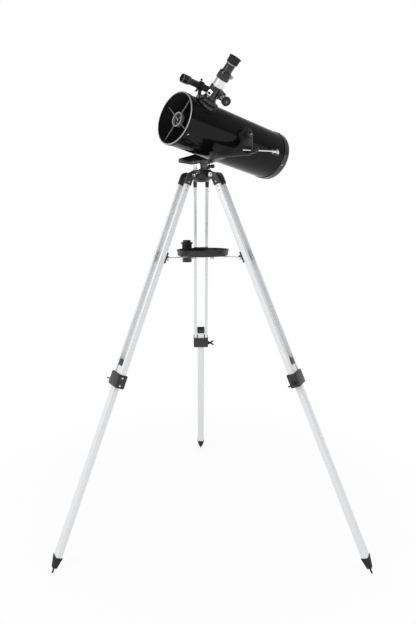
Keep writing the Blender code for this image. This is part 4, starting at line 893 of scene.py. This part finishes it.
def hand_knob(shape, place, radius, seat, length, look, grip):
    """A knob with a grooved grip, a collar on its seat and a domed end."""
    high = seat + length
    dome = ((0.0, 0.0), (0.45, 0.02), (0.8, 0.08), (0.96, 0.18), (1.0, 0.28))
    collar = ((1.0, 0.38), (0.92, 0.32), (0.75, 0.27), (0.75, 0.02), (0.7, 0.0), (0.0, 0.0))
    profile = [(wide * radius, high - down * length) for wide, down in dome]
    profile += [(wide * radius, seat + up * length) for wide, up in collar]
    shape.lathe(profile, place, look, 96, flutes=(4, 5), depth=grip)


def arm_outline():
    """Side view of a fork arm, measured from the altitude pivot."""
    boss = (0.004, 0.002)
    throat = (boss[0] - 0.024 + 0.003 - 0.060, boss[1] + 0.007)
    points = [(-0.1323, -0.0788), (-0.0923, -0.0788)]
    points += arc((0.012, -0.050), 0.018, -105, 0, 10)
    points += arc(boss, 0.024, 0, 170, 22)
    points += arc(throat, 0.060, -10, -62, 16)
    points.append((-0.1323, -0.0668))
    return points


class TELESCOPE_OT_fork(bpy.types.Operator):
    """Fork with its cradle and arms, and a lock knob on each end of the altitude axle"""

    bl_idname = "telescope.fork"
    bl_label = "Fork"

    def execute(self, context):
        grip = context.scene.telescope_details.grip_depth
        foot = turntable_place()
        pivot = axes(Vector(JOINTS["altitude"]["pos_m"]), *foot.to_3x3().col)
        fork = Shape()
        outer = ARM_OUTER - 0.0002
        inner = ARM_INNER + 0.0002
        half = [(0.030, 0.0), (0.034, 0.0004), (outer - 0.010, 0.0106)]
        half += arc((outer - 0.008, 0.0186), 0.008, -80, 0, 6)
        half += [(outer, 0.026), (inner, 0.026), (0.058, 0.010)]
        outline = half + [(-y, z) for y, z in reversed(half)]
        fork.slab(outline, 0.040, foot @ turn(90, "Z") @ TO_NEAR, "casting", 0.0012)
        profile = mm([(0, 9.8), (27.5, 9.8), (28.5, 8.8), (28.5, -0.6), (0, -0.6)])
        fork.lathe(profile, foot, "casting", 72)
        for side in (-1, 1):
            arm = pivot @ at(0.0, side * (ARM_INNER + ARM_OUTER) / 2, 0.0) @ TO_NEAR
            fork.slab(arm_outline(), ARM_OUTER - ARM_INNER, arm, "casting", 0.0014)
            profile = mm([(19.5, 0.2), (19.5, -0.8), (17.8, -0.8), (17.8, 0.2)])
            face = TO_NEAR if side < 0 else TO_FAR
            fork.lathe(profile, pivot @ face @ at(z=ARM_OUTER), "casting", 64)
        height = foot.translation.z - pivot.translation.z + 0.010
        for x, y in [(-0.1123 + x, y) for x in (-0.012, 0.012) for y in (-0.012, 0.012)]:
            screw_head(fork, pivot @ at(x, y, height), 0.0035, "steel")
        stand_in(fork, "fork", "fork_body")
        for side, face in (("near", TO_NEAR), ("far", TO_FAR)):
            knob = Shape()
            hand_knob(knob, pivot @ face, 0.011, ARM_OUTER + GAP, 0.020, "plastic", grip)
            screw_head(knob, pivot @ face @ at(z=ARM_OUTER + GAP + 0.0198), 0.003, "steel")
            stand_in(knob, f"altitude_knob_{side}", f"altitude_knob_{side}_body")
        return {"FINISHED"}


class TELESCOPE_OT_rod(bpy.types.Operator):
    """Slow-motion rod, its bracket on the tube, its swivel clamp on the fork and the clamp's knob"""

    bl_idname = "telescope.rod"
    bl_label = "Slow-Motion Rod"

    def execute(self, context):
        grip = context.scene.telescope_details.grip_depth
        eyelet = rod_place("eyelet")
        clamp = rod_place("clamp")
        span = (eyelet.translation - clamp.translation).length
        rod = Shape()
        start = -span - 0.044
        profile = mm([(0, -4.5), (3, -4.5)])
        x = -span + 0.030
        while x > start + 0.012:
            profile += [(0.003, x), (0.0026, x - 0.0005)]
            x -= 0.001
        profile += mm([(3, 11), (3, 1), (2.4, 0), (0, 0)], start)
        rod.lathe(profile, eyelet @ ALONG_X, "chrome", 28)
        ring = mm([(6.2, 3.3), (7.3, 2.4), (7.5, 1.4), (7.5, -1.4), (7.3, -2.4), (6.2, -3.3)])
        ring += mm([(4.2, -3.3), (3.5, -2.6), (3.5, 2.6), (4.2, 3.3)])
        rod.lathe(ring, eyelet @ TO_NEAR, "chrome", 48)
        stand_in(rod, "slow_rod", "slow_rod_body")

        tube = tube_place()
        eye = tube.inverted() @ eyelet.translation
        bracket = Shape()
        seat = tube @ at(eye.x, 0.0, eye.z) @ TO_NEAR
        profile = mm([(0, 119.8), (3, 119.6), (4.5, 118.8), (5, 117.8), (5, 117.3), (3, 117.3), (3, 109.7)])
        profile += mm([(5.6, 109.7), (6, 109.2), (6, 94), (0, 94)])
        bracket.lathe(profile, seat, "chrome", 40)
        plate = seat @ at(0.013, 0.003, 0.0)
        bracket.slab(rounded(0.046, 0.020, 0.0095), 0.022, plate @ at(z=0.083), "casting", 0.001)
        screw_head(bracket, seat @ at(0.027, 0.005, 0.094), 0.0062, "chrome")
        bed = long_rod(TUBE_RADIUS + GAP, tube @ ALONG_X)
        bracket = carve(bracket.object("rod_bracket_piece"), "DIFFERENCE", bed)
        fit(bracket, "tube_body", ("rod_bracket",))

        swivel = Shape()
        outer = ROD_PLANE + 0.0114
        low = -outer + ROD_PLANE
        high = -ARM_OUTER - GAP + ROD_PLANE
        swivel.block((-0.009, low, -0.0115), (0.009, high, 0.0115), clamp, "plastic", 0.0028, 3)
        slot = Shape().block((-0.02, -0.0034, -0.0072), (0.02, 0.0034, 0.0072), clamp, "inside")
        swivel = carve(swivel.object("rod_clamp_piece"), "DIFFERENCE", slot)
        fit(swivel, "rod_clamp_body", ("rod_clamp",))
        knob = Shape()
        hand_knob(knob, clamp @ TO_NEAR, 0.0085, outer - ROD_PLANE + GAP, 0.014, "plastic", grip)
        stand_in(knob, "rod_knob", "rod_knob_body")
        return {"FINISHED"}


class TELESCOPE_OT_hub(bpy.types.Operator):
    """Tripod hub with its lugs and hinge bolts, the azimuth base and its lock knob"""

    bl_idname = "telescope.hub"
    bl_label = "Hub And Azimuth Base"

    def execute(self, context):
        grip = context.scene.telescope_details.grip_depth
        axis = spoke_place(0)
        low = SHOULDER_HEIGHT - 0.026
        high = SHOULDER_HEIGHT + 0.012
        hub = Shape()
        profile = mm([(0, 0), (31.8, 0), (34.5, -1.2), (36, -4), (36, -12), (35.5, -12.5)], high)
        profile += mm([(35.5, -14), (36, -14.5)], high) + mm([(36, 15), (34.5, 12), (22, 2)], low)
        profile += mm([(18, 0), (12, 0), (10, 4), (0, 4)], low)
        hub.lathe(profile, axis, "casting", 96)
        eye_radius = 0.045232
        eye_height = 1.138213
        lug = arc((eye_radius, eye_height), 0.009, -90, 90, 12)
        outline = [(0.018, eye_height - 0.009), *lug, (0.018, eye_height + 0.009)]
        bolts = Shape()
        for direction in LEG_DIRECTIONS:
            spoke = spoke_place(direction)
            hub.slab(outline, 0.0284, spoke @ TO_NEAR, "casting", 0.0012)
            eye = spoke @ at(eye_radius, 0.0, eye_height)
            hexagon = mm([(0, 31.2), (4.2, 31.2), (4.8, 30.7), (4.8, 26.6), (0, 26.6)])
            bolts.lathe(hexagon, eye @ TO_NEAR, "chrome", 6)
            washer = mm([(0, 27.5), (6.8, 27.5), (7.2, 27.1), (7.2, 26.7), (0, 26.7)])
            bolts.lathe(washer, eye @ TO_NEAR, "steel", 36)
            bolts.lathe(washer, eye @ TO_FAR, "steel", 36)
            wing_nut(bolts, eye @ at(0.0, 0.0275, 0.0) @ TO_FAR @ turn(35, "Z"), "chrome")
        stand_in(hub, "hub", "tripod_body")
        fit(bolts.object("hinge_bolts"), "tripod_body")

        base = Shape()
        low = high + GAP
        top = low + 0.0205
        profile = mm([(27.8, 0), (28.5, -0.8)], top)
        profile += mm([(28.5, 4.8), (28.9, 4), (30.3, 3.4), (31, 2.6)], low)
        profile += [(0.031, low + 0.0004), (0.0306, low), (0.0106, low), (0.0106, top)]
        base.lathe(profile, axis, "chrome", 96)
        knob_axis = Vector(JOINTS["azimuth_knob_turn"]["axis"])
        x = Vector((0.0, 0.0, 1.0)).cross(knob_axis)
        centre = axis.translation.copy()
        centre.z = JOINTS["azimuth_knob_turn"]["pos_m"][2]
        spot = axes(centre, x, knob_axis.cross(x), knob_axis)
        hole = drill(0.0029, 0.05, 0.008, spot, 24)
        base = carve(base.object("azimuth_base_piece"), "DIFFERENCE", hole)
        fit(base, "tripod_body", ("azimuth_base",))
        knob = Shape()
        hand_knob(knob, spot, 0.0065, 0.0288, 0.016, "plastic", grip)
        knob.lathe(mm([(0, 30), (2.5, 30), (2.5, 11.5), (0, 11.5)]), spot, "steel", 24)
        stand_in(knob, "azimuth_knob", "azimuth_knob_body")
        return {"FINISHED"}


# Tripod


def wing_nut(shape, place, look):
    """A small nut with two ears, its seat at the origin and its axis along Z."""
    profile = mm([(0, 5.8), (2.6, 5.8), (3.4, 5), (4.6, 0.6), (4.6, 0), (0, 0)])
    shape.lathe(profile, place, look, 32)
    for side in (-1, 1):
        ear = mm([(1.8, 1), (5, 1.6), (8.6, 5.2), (9, 8.6), (7, 9.4), (1.8, 5)])
        shape.slab([(side * x, z) for x, z in ear], 0.0018, place @ TO_NEAR, look, 0.0005)


def cap_outline():
    """Side view of a leg's end cap: straight sides, a round shoulder and the eye of the hinge."""
    points = [(-0.011, -0.0397), (0.011, -0.0397)]
    points += arc((-0.009, -0.012), 0.020, 0, 90, 14)
    points += arc((-0.009, -0.0015), 0.0095, 100, 250, 16)
    points.append((-0.011, -0.0196))
    return points


def rail_outline(side):
    """Cross-section of a rail: round on its outer edges, with a groove along its inner face."""
    inner = side * RAIL_INNER
    outer = side * RAIL_OUTER
    groove = side * 0.0175
    corner = 0.0044
    points = mm([(-9.4, 0), (-4, 0)], inner) + mm([(-4, 0), (4, 0)], groove) + mm([(4, 0), (9.4, 0)], inner)
    points.append((0.010, inner + side * 0.0006))
    points += arc((0.010 - corner, outer - side * corner), corner, 0, side * 90, 8)
    points += arc((corner - 0.010, outer - side * corner), corner, side * 90, side * 180, 8)
    points.append((-0.010, inner + side * 0.0006))
    return points if side > 0 else points[::-1]


class TELESCOPE_OT_legs(bpy.types.Operator):
    """Three legs: rails, end caps, clamp blocks, wing screws, feet, rivets and bracket bolts"""

    bl_idname = "telescope.legs"
    bl_label = "Legs"

    def execute(self, context):
        rivet = context.scene.telescope_details.rivet_radius
        for number in range(1, 4):
            place = leg_place(number)
            for side, label in ((1, "left"), (-1, "right")):
                cap = Shape()
                middle = place @ at(y=side * RAIL_MIDDLE) @ TO_NEAR
                cap.slab(cap_outline(), 0.012, middle, "plastic", 0.0010)
                stand_in(cap, f"leg_{number}_cap_{label}", "tripod_body")
                rail = Shape()
                middle = place @ at(z=(RAIL_TOP + RAIL_BOTTOM) / 2)
                rail.slab(rail_outline(side), RAIL_TOP - RAIL_BOTTOM, middle, "alloy")
                name = f"leg_{number}_rail_{label}"
                fit(rail.object(f"{name}_piece"), "tripod_body", (name,))
            self.trim(number, place, rivet)
            self.clamp(number, place)
            self.lower(number, place)
            self.foot(number, place)
        return {"FINISHED"}

    def trim(self, number, place, rivet):
        """Rivets of the caps and the rails, and the bolts that hold the tray bracket."""
        trim = Shape()
        for side in (-1, 1):
            face = TO_FAR if side > 0 else TO_NEAR
            screw_head(trim, place @ at(0.0, side * 0.0265, -0.030) @ face, rivet, "silver")
            for z in (-0.046, -0.060):
                screw_head(trim, place @ at(0.0, side * RAIL_OUTER, z) @ face, rivet * 0.8, "brass")
            bolt = place @ at(-0.0133, side * RAIL_MIDDLE, -0.2756) @ turn(-90, "Y")
            screw_head(trim, bolt, 0.0042, "plastic")
        fit(trim.object(f"leg_{number}_rivets"), "tripod_body")

    def clamp(self, number, place):
        """Clamp block with its window for the lower leg and pockets for the rails, and its wing screw."""
        block = Shape()
        block.block((-0.015, -0.028, -0.701), (0.015, 0.028, -0.661), place, "plastic", 0.0022, 3)
        window = Shape().block((-0.0099, -0.0129, -0.75), (0.0099, 0.0129, -0.60), place, "inside")
        pockets = [
            Shape().block((-0.0103, low, -0.6813), (0.0103, low + 0.0106, -0.60), place, "inside")
            for low in (-0.0258, 0.0152)
        ]
        hole = drill(0.0034, 0.05, 0.005, place @ at(z=-0.690) @ TO_NEAR, 24)
        block = carve(block.object(f"leg_{number}_clamp_piece"), "DIFFERENCE", window, *pockets, hole)
        fit(block, "tripod_body", (f"leg_{number}_clamp",))
        plate = Shape()
        for z in (-0.6695, -0.6925):
            screw_head(plate, place @ at(0.0015, 0.028, z) @ TO_FAR, 0.0034, "chrome")
        fit(plate.object(f"leg_{number}_clamp_screws"), "tripod_body")
        axle = place @ at(z=-0.690) @ TO_NEAR
        screw = Shape()
        profile = mm([(0, 34.3), (4.5, 34.3), (6, 33), (6, 29), (5.4, 28.3), (3, 28.3), (3, 14)])
        profile += mm([(2.4, 13.3), (0, 13.3)])
        screw.lathe(profile, axle, "plastic", 40, accents={5: "steel", 6: "steel"})
        wing = mm([(4.2, 33.5), (6.8, 39.5), (12.5, 44), (14, 47.5), (12.4, 50.2), (8.6, 49.6), (3, 43.8)])
        other = [(-x, z) for x, z in wing]
        wings = other[:1] + wing + other[:0:-1]
        screw.slab(wings, 0.0034, axle @ TO_NEAR, "plastic", 0.0009)
        stand_in(screw, f"leg_{number}_clamp_screw", f"clamp_screw_{number}_body")

    def lower(self, number, place):
        """Lower leg with round corners, and the black guide on its upper end."""
        leg = Shape()
        leg.block(
            (-0.0095, -0.0125, -LEG_LENGTH + 0.040), (0.0095, 0.0125, -0.636), place, "alloy", 0.0040, 5
        )
        leg.block((-0.0099, -0.0138, -0.639), (0.0099, 0.0138, -0.6212), place, "plastic", 0.0010, 2)
        stand_in(leg, f"leg_{number}_lower", f"lower_leg_{number}_body")

    def foot(self, number, place):
        """Tapered rubber foot with a round pin, cut level with the ground."""
        foot = Shape()
        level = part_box(f"leg_{number}_foot")[0][2]
        end = -LEG_LENGTH
        low = (-0.0108, -0.0137, end + 0.0134)
        high = (0.0108, 0.0137, end + 0.045)
        foot.block(low, high, place, "rubber", 0.0012, 3, taper=(14 / 23, 14 / 29))
        pin = mm([(0, 20), (2.5, 20), (2.5, -20), (0, -20)], end)
        foot.lathe(pin, place, "rubber", 24)
        ground = Shape().block((-1.0, -1.0, -0.5), (1.0, 1.0, level), Matrix(), "rubber")
        piece = carve(foot.object(f"leg_{number}_foot_piece"), "DIFFERENCE", ground)
        fit(piece, f"lower_leg_{number}_body", (f"leg_{number}_foot",))


class TELESCOPE_OT_tray(bpy.types.Operator):
    """Round accessory tray with three eyepiece holes, and the wing nuts that hold it to its arms"""

    bl_idname = "telescope.tray"
    bl_label = "Accessory Tray"

    def execute(self, context):
        axis = spoke_place(0)
        low = TRAY_BOTTOM
        floor = low + 0.0025
        top = low + 0.020
        profile = mm([(0, 0), (78.8, 0), (80.8, 0.8), (81.6, 3)], floor) + mm([(82, -1)], top)
        profile += mm([(82.6, -0.2), (83.6, 0), (86.2, 0), (86.9, -0.6), (87, -1.6)], top)
        profile += mm([(86.6, -3), (84.8, -3.4)], top) + mm([(83.8, 3.2), (82.4, 0.8), (80, 0), (0, 0)], low)
        tray = Shape().lathe(profile, axis, "plastic", 128)
        holes = []
        for direction in TRAY_HOLES:
            hole = spoke_place(direction) @ at(TRAY_HOLE_CIRCLE, 0.0, low)
            holes.append(drill(0.01625, 0.01, -0.01, hole, 56, "plastic"))
        tray = carve(tray.object("tray_piece"), "DIFFERENCE", *holes)
        fit(tray, "tripod_body", ("tray",))
        nuts = Shape()
        for number, direction in enumerate(LEG_DIRECTIONS, start=1):
            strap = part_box(f"tray_arm_{number}")[0][2]
            spoke = spoke_place(direction)
            for radius in (0.035, 0.138):
                wing_nut(nuts, spoke @ at(radius, 0.0, strap) @ turn(180, "X") @ turn(25, "Z"), "steel")
            screw_head(nuts, spoke @ at(0.035, 0.0, floor), 0.0042, "steel")
            screw_head(nuts, spoke @ at(0.138, 0.0, low + 0.0040), 0.0042, "steel")
        fit(nuts.object("tray_wing_nuts"), "tripod_body")
        return {"FINISHED"}


# Stage


class TELESCOPE_OT_stage(bpy.types.Operator):
    """White floor and surroundings, three soft lamps and the camera"""

    bl_idname = "telescope.stage"
    bl_label = "Stage"

    def execute(self, context):
        own = context.scene.telescope_stage
        context.scene.view_settings.view_transform = "Standard"
        self.floor()
        self.surroundings(context.scene)
        self.lamp("key_lamp", (-1.9, -2.3, 2.3), (0.0, -0.1, 1.0), 1.7, own.key_power)
        self.lamp("fill_lamp", (2.3, -1.7, 1.7), (0.0, 0.0, 0.8), 1.8, own.fill_power)
        self.lamp("top_lamp", (0.2, 0.3, 3.3), (0.0, 0.0, 0.9), 1.9, own.top_power)
        self.camera(context.scene, own.lens)
        return {"FINISHED"}

    def floor(self):
        """A white ground that keeps the telescope's shadow."""
        mesh = bpy.data.meshes.new("floor")
        half = 30.0
        corners = [(-half, -half, 0.0), (half, -half, 0.0), (half, half, 0.0), (-half, half, 0.0)]
        mesh.from_pydata(corners, [], [(0, 1, 2, 3)])
        ground = bpy.data.objects.new("floor", mesh)
        bpy.context.scene.collection.objects.link(ground)
        paper = bpy.data.materials.new("white_ground")
        paper.use_nodes = True
        paper.cycles.emission_sampling = "NONE"
        tree = paper.node_tree
        tree.nodes.clear()
        where = node(tree, "TexCoord", {}).outputs["Object"]
        away = node(tree, "VectorMath", {0: where}, operation="LENGTH").outputs["Value"]
        share = maths(tree, "MULTIPLY", self.seen(tree), remap(tree, away, 0.30, 1.10, 0.90, 1.0))
        matt = node(tree, "BsdfDiffuse", {"Color": (0.85, 0.85, 0.85, 1.0)}).outputs["BSDF"]
        white = node(tree, "Emission", {}).outputs["Emission"]
        mix = node(tree, "MixShader", {"Fac": share, 1: matt, 2: white}).outputs["Shader"]
        node(tree, "OutputMaterial", {"Surface": mix})
        mesh.materials.append(paper)

    def seen(self, tree):
        """One for rays that show the background: straight from the camera, mirrored, or through glass."""
        path = node(tree, "LightPath", {}).outputs
        first = maths(tree, "MAXIMUM", path["Is Camera Ray"], path["Is Glossy Ray"])
        return maths(tree, "MAXIMUM", first, path["Is Transmission Ray"])

    def surroundings(self, scene):
        """White background, a room that is white behind and on the left, and even light on matt surfaces."""
        world = bpy.data.worlds.new("surroundings")
        scene.world = world
        world.cycles.sampling_method = "NONE"
        world.use_nodes = True
        tree = world.node_tree
        tree.nodes.clear()
        path = node(tree, "LightPath", {}).outputs
        where = node(tree, "TexCoord", {}).outputs["Generated"]
        side = node(tree, "SeparateXYZ", {"Vector": where}).outputs
        behind = remap(tree, side["Y"], -0.35, 0.45, 0.10, 1.0)
        left = remap(tree, side["X"], -0.40, -0.70, 0.0, 1.0)
        above = remap(tree, side["Z"], 0.10, 0.75, 1.0, 0.20)
        room = maths(tree, "MULTIPLY", maths(tree, "MAXIMUM", behind, left), above)
        white = (1.0, 1.0, 1.0, 1.0)
        matt, mirrored, straight = (
            node(tree, "Background", {"Color": white, "Strength": strength}).outputs["Background"]
            for strength in (0.62, room, 1.0)
        )
        shares = {"Fac": path["Is Glossy Ray"], 1: matt, 2: mirrored}
        glossy = node(tree, "MixShader", shares).outputs["Shader"]
        through = maths(tree, "MAXIMUM", path["Is Camera Ray"], path["Is Transmission Ray"])
        final = node(tree, "MixShader", {"Fac": through, 1: glossy, 2: straight}).outputs["Shader"]
        node(tree, "OutputWorld", {"Surface": final})

    def lamp(self, name, place, aim, size, power):
        """A square soft lamp that looks at a point."""
        light = bpy.data.lights.new(name, "AREA")
        light.size = size
        light.energy = power
        made = bpy.data.objects.new(name, light)
        made.location = place
        made.visible_glossy = name == "key_lamp"
        made.rotation_euler = (Vector(aim) - Vector(place)).to_track_quat("-Z", "Y").to_euler()
        bpy.context.scene.collection.objects.link(made)

    def camera(self, scene, lens):
        """The photograph's view, a little below the tube and nearly level."""
        view = bpy.data.cameras.new("view")
        view.lens = lens
        view.shift_x, view.shift_y = VIEW_SHIFT
        made = bpy.data.objects.new("view", view)
        ahead = Vector(VIEW_AHEAD).normalized()
        up = Vector((0.0, 0.0, 1.0))
        side = ahead.cross(up)
        right = math.cos(VIEW_ROLL) * side - math.sin(VIEW_ROLL) * up
        head = math.sin(VIEW_ROLL) * side + math.cos(VIEW_ROLL) * up
        made.matrix_world = axes(Vector(VIEW_PLACE), right, head, -ahead)
        scene.collection.objects.link(made)
        scene.camera = made


# Sidebar, registration and the whole telescope


STEPS = (
    "finishes", "tube", "optics", "focuser", "eyepieces", "finder", "fork", "rod", "hub", "legs", "tray",
    "stage"
)


class TELESCOPE_PT_sidebar(bpy.types.Panel):
    """Sidebar page with the telescope's pieces and settings"""

    bl_label = "Telescope"
    bl_idname = "TELESCOPE_PT_sidebar"
    bl_space_type = "VIEW_3D"
    bl_region_type = "UI"
    bl_category = "Telescope"

    def draw(self, context):
        layout = self.layout
        for title, own in (
            ("Finishes", context.scene.telescope_finishes),
            ("Details", context.scene.telescope_details),
            ("Stage", context.scene.telescope_stage),
        ):
            page = layout.box()
            page.label(text=title)
            for setting in own.bl_rna.properties:
                if setting.identifier not in ("rna_type", "name"):
                    page.prop(own, setting.identifier)
        for step in STEPS:
            layout.operator(f"telescope.{step}")


CLASSES = (
    TelescopeFinishes,
    TelescopeDetails,
    TelescopeStage,
    TELESCOPE_OT_finishes,
    TELESCOPE_OT_tube,
    TELESCOPE_OT_optics,
    TELESCOPE_OT_focuser,
    TELESCOPE_OT_eyepieces,
    TELESCOPE_OT_finder,
    TELESCOPE_OT_fork,
    TELESCOPE_OT_rod,
    TELESCOPE_OT_hub,
    TELESCOPE_OT_legs,
    TELESCOPE_OT_tray,
    TELESCOPE_OT_stage,
    TELESCOPE_PT_sidebar,
)


def register():
    for kind in CLASSES:
        bpy.utils.register_class(kind)
    bpy.types.Scene.telescope_finishes = bpy.props.PointerProperty(type=TelescopeFinishes)
    bpy.types.Scene.telescope_details = bpy.props.PointerProperty(type=TelescopeDetails)
    bpy.types.Scene.telescope_stage = bpy.props.PointerProperty(type=TelescopeStage)


def unregister():
    del bpy.types.Scene.telescope_stage
    del bpy.types.Scene.telescope_details
    del bpy.types.Scene.telescope_finishes
    for kind in reversed(CLASSES):
        bpy.utils.unregister_class(kind)


def main():
    register()
    for step in STEPS:
        getattr(bpy.ops.telescope, step)()


if __name__ == "__main__":
    main()
